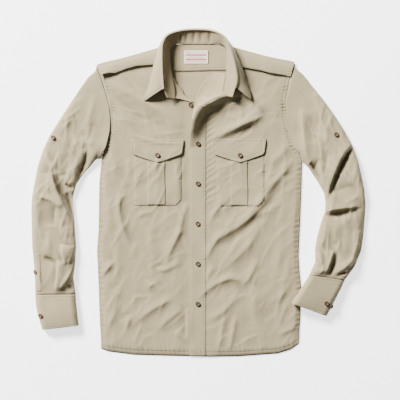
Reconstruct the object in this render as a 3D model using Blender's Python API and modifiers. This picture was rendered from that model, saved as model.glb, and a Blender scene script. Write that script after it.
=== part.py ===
"""A long-sleeved work shirt with chest pockets, buttoned and laid flat on its back.

Tables and sizes are in millimetres. The origin is on the floor under the middle of
the back, +Y runs up to the collar and +Z out of the shirt's front. Left and right are
the wearer's, so the left front, which laps over the right one, lies on the +X side.
"""
import math
from collections import namedtuple

import bmesh
import bpy
import numpy as np
from mathutils import Vector

MM = 0.001

# Cloth and the gaps between its pieces
WALL = 1.2
SEAM = 0.3
LAYER = 0.5
ARMHOLE_GAP = 0.9

# Heights above the floor
BACK_TOP = WALL
YOKE_TOP = BACK_TOP + SEAM + WALL
FRONT_LEVEL = 6.0
LAP_DROP = 1.9
LAP_START = 60.0
LAP_RUN = 30.0
SIDE_EDGE_TOP = BACK_TOP + SEAM + WALL
SHOULDER_EASE = 0.4
SHOULDER_EDGE_TOP = YOKE_TOP + SEAM + WALL + SHOULDER_EASE
ARMHOLE_EDGE_TOP = 8.0
ARMHOLE_RUN = 30.0
ARMHOLE_START = 20.0

# How far in from each edge the front climbs to its full height
SIDE_ROLL = 16.0
HEM_ROLL = 18.0
SHOULDER_ROLL = 15.0
NECK_ROLL = 36.0

# How far in from an edge the folds reach their full height
FOLD_FADE = 40.0
SHOULDER_FOLD_FADE = 50.0
FOLD_TAPER = 0.7

# Outlines: each row is a height y and the x of the edge there
Edge = namedtuple("Edge", "y x")
RIGHT_SIDE = [
    Edge(321, -255.5), Edge(287, -243), Edge(247, -231), Edge(217, -224), Edge(185, -222.5),
    Edge(157, -225), Edge(122, -234), Edge(90, -242.5), Edge(70, -245), Edge(30, -249),
    Edge(-15, -250), Edge(-90, -251), Edge(-140, -255), Edge(-170, -253.5), Edge(-227, -251),
    Edge(-275, -249.5), Edge(-327, -247.5), Edge(-365, -245), Edge(-385, -245),
]
LEFT_SIDE = [
    Edge(325, 239.5), Edge(277, 225), Edge(235, 217), Edge(195, 219), Edge(160, 225),
    Edge(127, 235), Edge(105, 250), Edge(80, 257.5), Edge(47, 257), Edge(-15, 255),
    Edge(-77, 252.5), Edge(-127, 250), Edge(-155, 249), Edge(-190, 251), Edge(-227, 255),
    Edge(-265, 255), Edge(-302, 254), Edge(-340, 251), Edge(-372, 250),
]
RIGHT_NECK = [
    Edge(362, -70), Edge(335, -72), Edge(310, -69), Edge(285, -62.5), Edge(265, -51),
    Edge(250, -39), Edge(237, -29), Edge(230, -13), Edge(215, 0), Edge(197, 12),
    Edge(172, 16), Edge(147, 16), Edge(-404, 16),
]
LEFT_NECK = [
    Edge(362, 68), Edge(335, 69), Edge(307, 67.5), Edge(280, 62.5), Edge(260, 60),
    Edge(244, 59), Edge(238, 41), Edge(226, 19), Edge(215, 0), Edge(202, -8.5),
    Edge(184, -15), Edge(147, -21), Edge(110, -22.5), Edge(-404, -22.5),
]
# The hem and the shoulder line run across: x, then y
Level = namedtuple("Level", "x y")
HEM = [
    Level(-245, -385), Level(-225, -392), Level(-162, -400), Level(-77, -402.5),
    Level(27, -405), Level(100, -404), Level(197, -397), Level(230, -387), Level(250, -372),
]
SHOULDER = [
    Level(-255.5, 321), Level(-90, 369), Level(-50, 372.5), Level(50, 372.5),
    Level(80, 369), Level(239.5, 325),
]
BACK_HEM_SHOWS = 2.0
BACK_INSET = 0.6
BACK_COLUMNS = 10
UNDERARM_RIGHT_Y = 90.0
UNDERARM_LEFT_Y = 80.0

# Grid of a front: shares of its width from the side, and rows below the neck
FRONT_SHARES = [0, 0.025, 0.07, 0.14, 0.22, 0.3, 0.38, 0.46, 0.54, 0.62, 0.7, 0.78, 0.86, 0.93, 1]
FRONT_ROWS = 26
NECK_ROWS_ABOVE_Y = 120.0
# How soon the slant of the shoulder and of the hem dies out down the front
SHOULDER_SLANT = 6
HEM_SLANT = 4

# How far the neck edge of each front is lifted
Lift = namedtuple("Lift", "y height")
RIGHT_LIFT = [
    Lift(362, 4), Lift(320, 6), Lift(285, 7), Lift(250, 6), Lift(230, 4), Lift(205, 0),
]
LEFT_LIFT = [
    Lift(362, 4), Lift(307, 6), Lift(260, 9), Lift(240, 13), Lift(215, 15), Lift(184, 11),
    Lift(147, 5), Lift(115, 0),
]

# Folds: start, middle and end of the crest, its half width and its height
Fold = namedtuple("Fold", "x0 y0 x1 y1 x2 y2 width height")
BODY_FOLDS = [
    Fold(246, 78, 160, -22, 24, -140, 22, 9),
    Fold(228, 190, 126, 190, 40, 168, 18, 6),
    Fold(150, -190, 80, -222, 20, -262, 20, 6),
    Fold(235, -280, 222, -318, 205, -372, 16, 5),
    Fold(-230, 250, -150, 232, -40, 175, 18, 6),
    Fold(-196, 10, -196, -50, -160, -140, 18, 6),
    Fold(-78, -60, -100, -200, -170, -330, 20, 6),
    Fold(-250, -160, -200, -172, -150, -190, 16, 5),
    Fold(-60, -250, -50, -320, -36, -380, 16, 5),
]
RIGHT_SLEEVE_FOLDS = [
    Fold(-384, 110, -362, 58, -312, 10, 14, 5),
    Fold(-366, 52, -345, -10, -314, -70, 14, 6),
    Fold(-270, 190, -284, 100, -300, 45, 14, 6),
    Fold(-400, -10, -372, -20, -346, -34, 12, 4),
    Fold(-372, -110, -340, -140, -312, -148, 14, 6),
    Fold(-366, -165, -364, -205, -362, -245, 13, 4),
]
LEFT_SLEEVE_FOLDS = [
    Fold(352, 130, 330, 72, 312, 14, 14, 7),
    Fold(396, 96, 366, 36, 338, -26, 14, 6),
    Fold(262, 150, 280, 90, 296, 40, 12, 5),
    Fold(318, -44, 362, -54, 404, -44, 14, 6),
    Fold(338, -138, 322, -176, 306, -212, 13, 6),
    Fold(386, -60, 372, -110, 352, -160, 14, 4),
]

# Sleeves: the outer and inner edge of each section, its height and its lean off the floor
Section = namedtuple("Section", "outer_x outer_y inner_x inner_y height lean")
RIGHT_SLEEVE = [
    Section(-256, 321, -244, 88, 9.5, 0), Section(-295, 265, -254, 87, 16, 0),
    Section(-325, 220, -259, 83, 18, 0), Section(-351, 180, -265, 76, 18, 0),
    Section(-373, 145, -272, 67, 17, 0), Section(-389, 110, -281, 58, 17, 0),
    Section(-402, 70, -292, 45, 17, 0), Section(-410, 30, -305, 25, 17, 0),
    Section(-417, -10, -315, -9, 17, 0), Section(-418, -50, -312, -48, 17, 0),
    Section(-417, -90, -309, -88, 17, 0), Section(-416, -130, -306, -130, 18, 0),
    Section(-412, -170, -308, -170, 18, 0), Section(-409, -210, -313, -210, 19, 0),
    Section(-408, -250, -307, -249, 20, 0),
]
LEFT_SLEEVE = [
    Section(240, 325, 259, 79, 9.5, 0), Section(277, 275, 264, 76, 16, 0),
    Section(310, 235, 270, 69, 18, 0), Section(340, 193, 277, 59, 18, 0),
    Section(364, 155, 286, 45, 17, 0), Section(383, 120, 296, 30, 17, 0),
    Section(397, 83, 305, 15, 17, 0), Section(406, 45, 312, 1, 17, 0),
    Section(413, 10, 315, -20, 17, 0), Section(416, -27, 314, -43, 17, 0),
    Section(413, -67, 305, -68, 17, 0), Section(410, -105, 294, -107, 17, 0),
    Section(405, -140, 289, -135, 18, 2), Section(389, -180, 289, -168, 19, 6),
    Section(364, -214, 274, -201, 20, 9),
]
CUFF_DROP = 0.5
RIGHT_CUFF = [
    Section(-408, -250, -307, -249, 20, 0), Section(-407, -275, -306, -271, 22, 0),
    Section(-402, -301, -303, -293, 23, 0), Section(-395, -323, -301, -313, 23, 0),
    Section(-391, -338, -299, -327, 22, 0),
]
LEFT_CUFF = [
    Section(364, -214, 274, -201, 20, 9), Section(353, -238, 262, -220, 22, 10),
    Section(341, -261, 251, -238, 23, 10), Section(329, -285, 239, -256, 23, 10),
    Section(318, -304, 229, -271, 22, 10),
]
SLEEVE_RINGS = 25
CUFF_RINGS = 4
SLEEVES = {
    "right": (RIGHT_SLEEVE, RIGHT_SLEEVE_FOLDS),
    "left": (LEFT_SLEEVE, LEFT_SLEEVE_FOLDS),
}
CUFFS = {"right": RIGHT_CUFF, "left": LEFT_CUFF}
SLEEVE_TOP = [0, 0.03, 0.1, 0.22, 0.36, 0.5, 0.64, 0.78, 0.9, 0.97, 1]
SLEEVE_UNDER = [0.96, 0.88, 0.77, 0.64, 0.5, 0.36, 0.23, 0.12, 0.04]
EDGE_SHARE = 0.16
UNDER_SHARE = 0.05
EDGE_HEIGHT = 0.42
ARMHOLE_FADE = 0.3
TIP_NARROWING = 12
TOP_FOLD_FADE = 0.08
END_FOLD_FADE = 0.06

# Strips over the sleeve slits: shares of the sleeve's width and length
Strip = namedtuple("Strip", "low high foot head")
STRIPS = {"right": Strip(0.02, 0.17, 0.98, 0.82), "left": Strip(0.03, 0.22, 0.98, 0.82)}
STRIP_COLUMNS = 4
STRIP_ROWS = 6

# Pockets: outer corner, width and the heights of top, bottom and flap
Pocket = namedtuple("Pocket", "x0 x1 top bottom pleat0 pleat1 flap0 flap1 flap_top tip_x")
POCKETS = {
    "right": Pocket(-162, -44.5, 130, -29, -128.5, -84.5, -172, -38, 136.5, -103),
    "left": Pocket(45, 162, 130, -30, 78, 121.5, 30, 167, 138, 102),
}
POCKET_CORNER = 14.0
FLAP_SIDE_Y = 102.0
FLAP_TIP_Y = 79.0
FLAP_END_RISE = 8.0
PLEAT_FOOT = 2.0
PLEAT_HEAD = 5.0
FLAP_LIFT = 1.5
POCKET_COLUMNS = 6
POCKET_ROWS = 7
PLEAT_COLUMNS = 2
FLAP_COLUMNS = 8
FLAP_ROWS = 3

# The front placket and its buttons
PLACKET_SEAM = 17.0
PLACKET_TOP = 221.0
PLACKET_COLUMNS = 3
PLACKET_FOOT = 1.0
PLACKET_OVERHANG = 1.0
PLACKET_FIRST_ROW = 4.0
FRONT_BUTTON_X = -3.0
FRONT_BUTTON_TOP_Y = 126.0
FRONT_BUTTON_PITCH = 100.0
FRONT_BUTTONS = 5
NECK_BUTTON = Level(-20.5, 223)
FLAP_BUTTON_Y = 96.5

# Yoke
YOKE_SEAM_Y = 307.0
YOKE_INSET = 1.5
YOKE_END_INSET = 6.0
YOKE_COLUMNS = 14
FLAP_EDGE_COLUMNS = 9
FLAP_EDGE_ROWS = 2
RIGHT_FLAP = [
    Level(-244, 292), Level(-229, 299), Level(-200, 301), Level(-177, 312), Level(-155, 319),
    Level(-121, 321.5), Level(-82, 325),
]
LEFT_FLAP = [
    Level(82, 322), Level(106, 316), Level(151, 308), Level(176, 300), Level(217, 292),
]
FLAP_EDGE_LIFT = 3.0

# Collar: seam on the neck, roll at its top and, past it, the leaf's free edge
Station = namedtuple("Station", "seam_x seam_y seam_z roll_x roll_y roll_z edge_x edge_y edge_z")
COLLAR = [
    Station(-58, 237, 15.5, -79, 238, 27, -79, 238, 20),
    Station(-59.5, 260, 15.5, -86, 259, 32, -135, 231, 12),
    Station(-65, 288, 15.5, -88.5, 287, 35, -127, 266, 12.5),
    Station(-69, 314, 14.5, -90, 315, 37, -118, 299, 14),
    Station(-71, 340, 13, -90.5, 344, 37, -108, 337, 13),
    Station(-70, 362, 12, -88, 373, 34, -99, 367, 12),
    Station(-56, 373.5, 6, -75, 393, 26, -80, 376, 4),
    Station(-32, 373.5, 4.5, -42, 405, 16, -40, 377, 0.3),
    Station(-2, 373.5, 4.3, -5, 407.5, 14, -3, 377, 0.3),
    Station(28, 373.5, 4.5, 33, 404, 16, 32, 377, 0.3),
    Station(53, 373.5, 6, 59, 390, 26, 65, 376, 4),
    Station(67, 362, 12, 72, 371, 34, 82, 367, 12),
    Station(69, 340, 13, 81, 344, 37, 95, 341, 13),
    Station(68, 314, 14.5, 89, 313, 37, 108, 311, 14.5),
    Station(65, 286, 16.5, 93, 283, 35, 118, 275, 15),
    Station(61.5, 262, 19, 89, 262, 32, 128, 234, 15),
    Station(59.5, 245, 23, 82.5, 240, 31, 82.5, 240, 24),
]
STAND_STEPS = 32
STAND_ROWS = 2
LEAF_STEPS = 28
LEAF_ROWS = 3
# The leaf turns over the stand's top: how far out of it and above it each row lies
Turn = namedtuple("Turn", "out up")
LEAF_TURN = [Turn(-0.5, 2.4), Turn(2.6, 1.2), Turn(4.2, -2.4)]
LEAF_TUCK = 4.5
LEAF_TUCK_RUN = 20.0

LABEL = (-37, 23, 325, 358)
LABEL_WALL = 1.0

# Buttons on the sleeves: share of the length, share of the width, layers under it
SLEEVE_BUTTONS = [
    ("button_tab_right", "right", 0.28, 0.1, 0),
    ("button_tab_left", "left", 0.257, 0.19, 0),
    ("button_slit_right", "right", 0.9, 0.05, 1),
    ("button_slit_left", "left", 0.94, 0.14, 1),
    ("button_cuff_right", "right", 0.52, 0.09, 0),
    ("button_cuff_left", "left", 0.66, 0.2, 0),
    ("button_cuff_left_outer", "left", 0.7, 0.04, 0),
]

# Buttons: radius and height down a turned profile
BUTTON_PROFILE = [(0, 2.3), (3.4, 2.2), (4.6, 3.0), (5.6, 2.6), (5.75, 1.6), (4.6, 0), (0, 0)]
BUTTON_SIDES = 10
BUTTON_MERGE = 0.05 * MM
NORMAL_STEP = 0.01

CLOTH_COLOUR = (0.55, 0.49, 0.38, 1)
INSIDE_COLOUR = (0.50, 0.45, 0.35, 1)
LABEL_COLOUR = (0.82, 0.78, 0.72, 1)
BUTTON_COLOUR = (0.16, 0.10, 0.06, 1)
CLOTH_ROUGHNESS = 0.9
CREASE_ANGLE = math.radians(50)
RING_MERGE = 0.01 * MM
BUTTON_ROUGHNESS = 0.35


def smooth(t):
    """Climb softly from 0 to 1 as t does, and stay there."""
    t = min(max(t, 0.0), 1.0)
    return t * t * (3 - 2 * t)


def mix(a, b, t):
    return a + (b - a) * t


def read(table, key, value, at):
    """Read the value column of a table where its key column has the given number."""
    rows = sorted(table, key=lambda row: getattr(row, key))
    keys = [getattr(row, key) for row in rows]
    values = [getattr(row, value) for row in rows]
    return float(np.interp(at, keys, values))


def side_x(table, y):
    return read(table, "y", "x", y)


def hem_y(x):
    return read(HEM, "x", "y", x)


def shoulder_y(x):
    return read(SHOULDER, "x", "y", x)


def fold_rise(fold, x, y):
    """Height that one fold adds at a point, from its distance to the bent crest."""
    knots = [(fold.x0, fold.y0), (fold.x1, fold.y1), (fold.x2, fold.y2)]
    nearest = None
    for index in range(2):
        start, end = knots[index], knots[index + 1]
        run_x, run_y = end[0] - start[0], end[1] - start[1]
        share = ((x - start[0]) * run_x + (y - start[1]) * run_y) / (run_x ** 2 + run_y ** 2)
        share = min(max(share, 0.0), 1.0)
        gap = math.hypot(x - start[0] - share * run_x, y - start[1] - share * run_y)
        if nearest is None or gap < nearest[0]:
            nearest = (gap, (index + share) / 2)
    taper = math.sin(math.pi * nearest[1]) ** FOLD_TAPER
    return fold.height * taper * math.exp(-((nearest[0] / fold.width) ** 2))


def folds_rise(folds, x, y):
    return sum(fold_rise(fold, x, y) for fold in folds)


def front_height(x, y, left):
    """Height of the outer face of a front at a point of the plan."""
    side = LEFT_SIDE if left else RIGHT_SIDE
    neck = LEFT_NECK if left else RIGHT_NECK
    lift = LEFT_LIFT if left else RIGHT_LIFT
    underarm = UNDERARM_LEFT_Y if left else UNDERARM_RIGHT_Y
    inward = -1 if left else 1
    from_side = (x - side_x(side, y)) * inward
    from_neck = (side_x(neck, y) - x) * inward
    in_armhole = smooth((y - underarm + ARMHOLE_START) / ARMHOLE_RUN)
    edge = mix(SIDE_EDGE_TOP, ARMHOLE_EDGE_TOP, in_armhole)
    lap = smooth((LAP_START + x * inward) / LAP_RUN)
    level = FRONT_LEVEL if left else FRONT_LEVEL - LAP_DROP * lap
    hem_edge = SIDE_EDGE_TOP + LAP_DROP * lap if left else SIDE_EDGE_TOP
    height = mix(edge, level, smooth(from_side / SIDE_ROLL))
    height = mix(hem_edge, height, smooth((y - hem_y(x)) / HEM_ROLL))
    height = mix(SHOULDER_EDGE_TOP, height, smooth((shoulder_y(x) - y) / SHOULDER_ROLL))
    away = smooth(from_side / FOLD_FADE) * smooth((y - hem_y(x)) / FOLD_FADE)
    away *= smooth((shoulder_y(x) - y) / SHOULDER_FOLD_FADE)
    height += folds_rise(BODY_FOLDS, x, y) * away
    raised = read(lift, "y", "height", y)
    height += raised * math.exp(-((max(from_neck, 0) / NECK_ROLL) ** 2))
    return height


def surface_point(height, x, y, out=0.0):
    """A point of a height field, moved out along its normal."""
    step = 1.0
    slope_x = (height(x + step, y) - height(x - step, y)) / (2 * step)
    slope_y = (height(x, y + step) - height(x, y - step)) / (2 * step)
    normal = Vector((-slope_x, -slope_y, 1)).normalized()
    return Vector((x, y, height(x, y))) + normal * out


def front_point(x, y, left, out=0.0):
    return surface_point(lambda px, py: front_height(px, py, left), x, y, out)


def over(layers):
    """How far out the outer face of the given layer on a panel lies."""
    return layers * (WALL + LAYER)


def front_rows(neck, foot):
    """Row heights at the centre edge: the neck's own, then even steps to the hem."""
    near_neck = [row.y for row in neck if row.y > NECK_ROWS_ABOVE_Y]
    even = [mix(near_neck[-1], foot, (index + 1) / FRONT_ROWS) for index in range(FRONT_ROWS)]
    return near_neck + even


def make_material(name, colour, roughness):
    material = bpy.data.materials.new(name)
    material.use_nodes = True
    shader = material.node_tree.nodes["Principled BSDF"]
    shader.inputs["Base Color"].default_value = colour
    shader.inputs["Roughness"].default_value = roughness
    shader.inputs["Metallic"].default_value = 0.0
    material.diffuse_color = colour
    return material


def add_object(name, mesh, colour=CLOTH_COLOUR, roughness=CLOTH_ROUGHNESS):
    piece = bpy.data.objects.new(name, mesh)
    shirt.objects.link(piece)
    piece.parent = rest
    mesh.materials.clear()
    mesh.materials.append(make_material(name, colour, roughness))
    return piece


def add_sheet(name, columns, rows, place, wall=WALL, colour=CLOTH_COLOUR, ring=False):
    """A cloth wall: a grid whose corners are placed by index, with thickness inwards."""
    grid = bmesh.new()
    bmesh.ops.create_grid(grid, x_segments=columns, y_segments=rows, size=0.5)
    for corner in grid.verts:
        column = round((corner.co.x + 0.5) * columns)
        row = round((corner.co.y + 0.5) * rows)
        corner.co = Vector(place(column, row)) * MM
    if ring:
        bmesh.ops.remove_doubles(grid, verts=grid.verts, dist=RING_MERGE)
    mesh = bpy.data.meshes.new(name)
    grid.to_mesh(mesh)
    grid.free()
    mesh.shade_smooth()
    mesh.set_sharp_from_angle(angle=CREASE_ANGLE)
    piece = add_object(name, mesh, colour)
    solid = piece.modifiers.new("Wall", "SOLIDIFY")
    solid.thickness = wall * MM
    solid.offset = -1
    solid.use_even_offset = True
    solid.use_quality_normals = True


def make_back():
    span = RIGHT_SIDE[0].y - RIGHT_SIDE[-1].y
    downs = [(RIGHT_SIDE[0].y - edge.y) / span for edge in RIGHT_SIDE]
    columns, rows = BACK_COLUMNS, len(downs) - 1

    def place(column, row):
        u, v = column / columns, downs[rows - row]
        right_y = mix(RIGHT_SIDE[0].y, RIGHT_SIDE[-1].y, v)
        left_y = mix(LEFT_SIDE[0].y, LEFT_SIDE[-1].y, v)
        x = mix(side_x(RIGHT_SIDE, right_y) + BACK_INSET, side_x(LEFT_SIDE, left_y) - BACK_INSET, u)
        y = mix(right_y, left_y, u)
        top = shoulder_y(x) - mix(RIGHT_SIDE[0].y, LEFT_SIDE[0].y, u)
        foot = hem_y(x) - mix(RIGHT_SIDE[-1].y, LEFT_SIDE[-1].y, u)
        y += top * (1 - v) ** 2 + (foot - BACK_HEM_SHOWS) * v ** 3
        return x, y, BACK_TOP

    add_sheet("back", columns, rows, place)


def make_back_yoke():
    start, end = RIGHT_SIDE[0].x + YOKE_END_INSET, LEFT_SIDE[0].x - YOKE_END_INSET

    def place(column, row):
        x = mix(start, end, column / YOKE_COLUMNS)
        return x, mix(YOKE_SEAM_Y, shoulder_y(x) - YOKE_INSET, row), YOKE_TOP

    add_sheet("yoke_back", YOKE_COLUMNS, 1, place, colour=INSIDE_COLOUR)


def make_front(name, left):
    neck = LEFT_NECK if left else RIGHT_NECK
    side = LEFT_SIDE if left else RIGHT_SIDE
    centre = front_rows(neck, neck[-1].y)
    columns, rows = len(FRONT_SHARES) - 1, len(centre) - 1

    def place(column, row):
        across = FRONT_SHARES[columns - column if left else column]
        centre_y = centre[rows - row]
        down = (neck[0].y - centre_y) / (neck[0].y - neck[-1].y)
        outer_y = mix(side[0].y, side[-1].y, down)
        x = mix(side_x(side, outer_y), side_x(neck, centre_y), across)
        y = mix(outer_y, centre_y, across)
        top = shoulder_y(x) - mix(side[0].y, neck[0].y, across)
        foot = hem_y(x) - mix(side[-1].y, neck[-1].y, across)
        y += top * (1 - down) ** SHOULDER_SLANT * (1 - across) + foot * down ** HEM_SLANT
        return front_point(x, y, left)

    add_sheet(name, columns, rows, place)


def make_shoulder_flap(name, lower, left):
    """The front edge of the yoke: it laps over the front and its lower edge stands free."""
    def place(column, row):
        x = mix(lower[0].x, lower[-1].x, column / FLAP_EDGE_COLUMNS)
        v = row / FLAP_EDGE_ROWS
        y = mix(read(lower, "x", "y", x), shoulder_y(x) - YOKE_INSET, v)
        return front_point(x, y, left, over(1) + FLAP_EDGE_LIFT * (1 - v))

    add_sheet(name, FLAP_EDGE_COLUMNS, FLAP_EDGE_ROWS, place)


def make_placket():
    first = PLACKET_TOP - PLACKET_FIRST_ROW
    below = [y for y in front_rows(LEFT_NECK, hem_y(0) + PLACKET_FOOT) if y < first]
    heights = [PLACKET_TOP] + below
    rows = len(heights) - 1

    def place(column, row):
        y = heights[rows - row]
        edge = side_x(LEFT_NECK, y) - PLACKET_OVERHANG
        x = mix(edge, PLACKET_SEAM, column / PLACKET_COLUMNS)
        return front_point(x, y, True, over(1))

    add_sheet("placket", PLACKET_COLUMNS, rows, place)


def make_pocket(side, pocket):
    left = side == "left"

    def bag(column, row):
        u, v = column / POCKET_COLUMNS, row / POCKET_ROWS
        y = mix(pocket.bottom, pocket.top, v)
        cut = POCKET_CORNER if row == 0 else 0
        x = mix(pocket.x0 + cut * 0.5, pocket.x1 - cut * 0.5, u)
        return front_point(x, y, left, over(1))

    def pleat(column, row):
        x = mix(pocket.pleat0, pocket.pleat1, column / PLEAT_COLUMNS)
        y = mix(pocket.bottom + PLEAT_FOOT, pocket.top - PLEAT_HEAD, row / POCKET_ROWS)
        return front_point(x, y, left, over(2))

    def flap(column, row):
        u, v = column / FLAP_COLUMNS, row / FLAP_ROWS
        x = mix(pocket.flap0, pocket.flap1, u)
        tip = 1 - abs(x - pocket.tip_x) / (pocket.flap1 - pocket.flap0) * 2
        low = mix(FLAP_SIDE_Y, FLAP_TIP_Y, max(tip, 0))
        if column in (0, FLAP_COLUMNS):
            low += FLAP_END_RISE
        y = mix(low, pocket.flap_top, v)
        return front_point(x, y, left, over(3) + FLAP_LIFT * (1 - v))

    add_sheet("pocket_" + side, POCKET_COLUMNS, POCKET_ROWS, bag)
    add_sheet("pocket_pleat_" + side, PLEAT_COLUMNS, POCKET_ROWS, pleat)
    add_sheet("pocket_flap_" + side, FLAP_COLUMNS, FLAP_ROWS, flap)


def section_at(sections, along):
    """Values of every column of a sleeve table at a share of its length."""
    place = np.linspace(0, 1, len(sections))
    return Section(*(float(np.interp(along, place, column)) for column in zip(*sections)))


def tube_point(sections, folds, along, across, under, armhole=None, out=0.0):
    """A point on a sleeve or cuff, on its upper or its under layer."""
    section = section_at(sections, along)
    x = mix(section.outer_x, section.inner_x, across)
    y = mix(section.outer_y, section.inner_y, across)
    if armhole is not None:
        start = section_at(sections, 0)
        hole_y = mix(start.outer_y, start.inner_y, across)
        gap = ARMHOLE_GAP + WALL * (1 - across) ** TIP_NARROWING
        hole_x = side_x(armhole, hole_y) + math.copysign(gap, section.outer_x)
        bend = hole_x - mix(start.outer_x, start.inner_x, across)
        x += bend * (1 - smooth(along / ARMHOLE_FADE))
    edge = min(across, 1 - across)
    middle = section.height * EDGE_HEIGHT
    rise = 1 - (1 - min(edge / EDGE_SHARE, 1)) ** 2
    if under:
        height = middle * (1 - min(edge / UNDER_SHARE, 1))
    else:
        height = mix(middle, section.height, rise)
        fade = smooth(along / TOP_FOLD_FADE) * smooth((1 - along) / END_FOLD_FADE)
        height += folds_rise(folds, x, y) * rise * fade
    height += section.lean * across + out
    return x, y, height


def add_tube(name, sections, folds, rings, armhole=None):
    """A flattened tube of cloth, flat below and domed above."""
    path = [(share, False) for share in SLEEVE_TOP] + [(share, True) for share in SLEEVE_UNDER]
    path.append(path[0])
    if sections[0].outer_x < 0:
        path.reverse()

    def place(column, row):
        across, under = path[column]
        return tube_point(sections, folds, row / rings, across, under, armhole)

    add_sheet(name, len(path) - 1, rings, place, ring=True)


def tube_surface(sections, folds, along, across):
    """A point on a sleeve's or cuff's upper layer, and the direction out of it."""
    here = Vector(tube_point(sections, folds, along, across, False))
    ahead = Vector(tube_point(sections, folds, along + NORMAL_STEP, across, False)) - here
    aside = Vector(tube_point(sections, folds, along, across + NORMAL_STEP, False)) - here
    normal = ahead.cross(aside).normalized()
    return here, normal if normal.z > 0 else -normal


def make_sleeve_placket(side):
    """The strip over the sleeve's slit, from its upper end down to the cuff."""
    sections, folds = SLEEVES[side]
    strip = STRIPS[side]
    start, end = (strip.high, strip.low) if side == "left" else (strip.low, strip.high)

    def place(column, row):
        across = mix(start, end, column / STRIP_COLUMNS)
        along = mix(strip.foot, strip.head, row / STRIP_ROWS)
        here, normal = tube_surface(sections, folds, along, across)
        return here + normal * over(1)

    add_sheet("sleeve_placket_" + side, STRIP_COLUMNS, STRIP_ROWS, place)


def collar_at(along):
    place = np.linspace(0, 1, len(COLLAR))
    return Station(*(float(np.interp(along, place, column)) for column in zip(*COLLAR)))


def make_collar():
    last_turn = len(LEAF_TURN) - 1

    def stand(column, row):
        station = collar_at(column / STAND_STEPS)
        rise = row / STAND_ROWS
        x = mix(station.seam_x, station.roll_x, rise)
        y = mix(station.seam_y, station.roll_y, rise)
        return x, y, mix(station.seam_z, station.roll_z, rise)

    def leaf(column, row):
        first = 1 / (len(COLLAR) - 1)
        station = collar_at(mix(first, 1 - first, column / LEAF_STEPS))
        seam = Vector((station.seam_x, station.seam_y))
        roll = Vector((station.roll_x, station.roll_y))
        edge = Vector((station.edge_x, station.edge_y))
        outward = (roll - seam).normalized()
        tucked = smooth((roll - edge).dot(outward) / LEAF_TUCK_RUN)
        turn = LEAF_TURN[min(row, last_turn)]
        spot = roll + outward * turn.out
        height = station.roll_z + turn.up - (LEAF_TUCK * tucked if row >= last_turn else 0)
        share = max(row - last_turn, 0) / LEAF_ROWS
        spot = spot.lerp(edge, share)
        return spot.x, spot.y, mix(height, station.edge_z, share)

    add_sheet("collar_stand", STAND_STEPS, STAND_ROWS, stand, colour=INSIDE_COLOUR)
    add_sheet("collar", LEAF_STEPS, last_turn + LEAF_ROWS, leaf)


def make_label():
    x0, x1, y0, y1 = LABEL

    def place(column, row):
        return mix(x0, x1, column), mix(y0, y1, row), YOKE_TOP + SEAM + LABEL_WALL

    add_sheet("label", 1, 1, place, wall=LABEL_WALL, colour=LABEL_COLOUR)


def button_mesh():
    """One turned button, made by sweeping its profile round."""
    profile = bmesh.new()
    corners = [profile.verts.new((x * MM, 0, z * MM)) for x, z in BUTTON_PROFILE]
    for upper, lower in zip(corners, corners[1:]):
        profile.edges.new((upper, lower))
    mesh = bpy.data.meshes.new("button")
    profile.to_mesh(mesh)
    profile.free()
    return mesh


def add_button(name, point, normal):
    mesh = button_mesh()
    piece = add_object(name, mesh, BUTTON_COLOUR, BUTTON_ROUGHNESS)
    turn = piece.modifiers.new("Turn", "SCREW")
    turn.steps = BUTTON_SIDES
    turn.render_steps = BUTTON_SIDES
    turn.use_merge_vertices = True
    turn.merge_threshold = BUTTON_MERGE
    piece.location = Vector(point) * MM
    piece.rotation_mode = "QUATERNION"
    piece.rotation_quaternion = Vector(normal).to_track_quat("Z", "Y")


def front_button(name, x, y, left, layers):
    base = front_point(x, y, left, 0)
    top = front_point(x, y, left, 1)
    normal = (top - base).normalized()
    add_button(name, base + normal * (over(layers) + SEAM), normal)


def sleeve_button(name, sections, folds, along, across, layers):
    here, normal = tube_surface(sections, folds, along, across)
    add_button(name, here + normal * (over(layers) + LAYER), normal)


def drop_start(sections):
    """A cuff begins just past the end of its sleeve."""
    first, second = sections[0], sections[1]
    length = math.hypot(second.outer_x - first.outer_x, second.outer_y - first.outer_y)
    share = CUFF_DROP / length
    return [Section(*(mix(a, b, share) for a, b in zip(first, second)))] + sections[1:]


def make_buttons():
    for name, side, along, across, layers in SLEEVE_BUTTONS:
        sections, folds = SLEEVES[side]
        if name.startswith("button_cuff"):
            sections, folds = CUFFS[side], []
        sleeve_button(name, sections, folds, along, across, layers)
    for index in range(FRONT_BUTTONS):
        y = FRONT_BUTTON_TOP_Y - index * FRONT_BUTTON_PITCH
        front_button(f"button_front_{index + 1}", FRONT_BUTTON_X, y, True, 1)
    front_button("button_neck", NECK_BUTTON.x, NECK_BUTTON.y, False, 0)
    for side, pocket in POCKETS.items():
        front_button("button_pocket_" + side, pocket.tip_x, FLAP_BUTTON_Y, side == "left", 4)


for leftover in list(bpy.data.objects):
    bpy.data.objects.remove(leftover)

shirt = bpy.data.collections.new("shirt")
bpy.context.scene.collection.children.link(shirt)
rest = bpy.data.objects.new("rest", None)
shirt.objects.link(rest)

make_back()
make_back_yoke()
make_front("front_right", False)
make_front("front_left", True)
make_placket()
make_shoulder_flap("yoke_front_right", RIGHT_FLAP, False)
make_shoulder_flap("yoke_front_left", LEFT_FLAP, True)
make_label()
for pocket_side, pocket_sizes in POCKETS.items():
    make_pocket(pocket_side, pocket_sizes)
for sleeve_side, armhole in (("right", RIGHT_SIDE), ("left", LEFT_SIDE)):
    add_tube("sleeve_" + sleeve_side, *SLEEVES[sleeve_side], SLEEVE_RINGS, armhole)
    add_tube("cuff_" + sleeve_side, drop_start(CUFFS[sleeve_side]), [], CUFF_RINGS)
    make_sleeve_placket(sleeve_side)
make_collar()
make_buttons()
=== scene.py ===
import math
from collections import namedtuple

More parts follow.
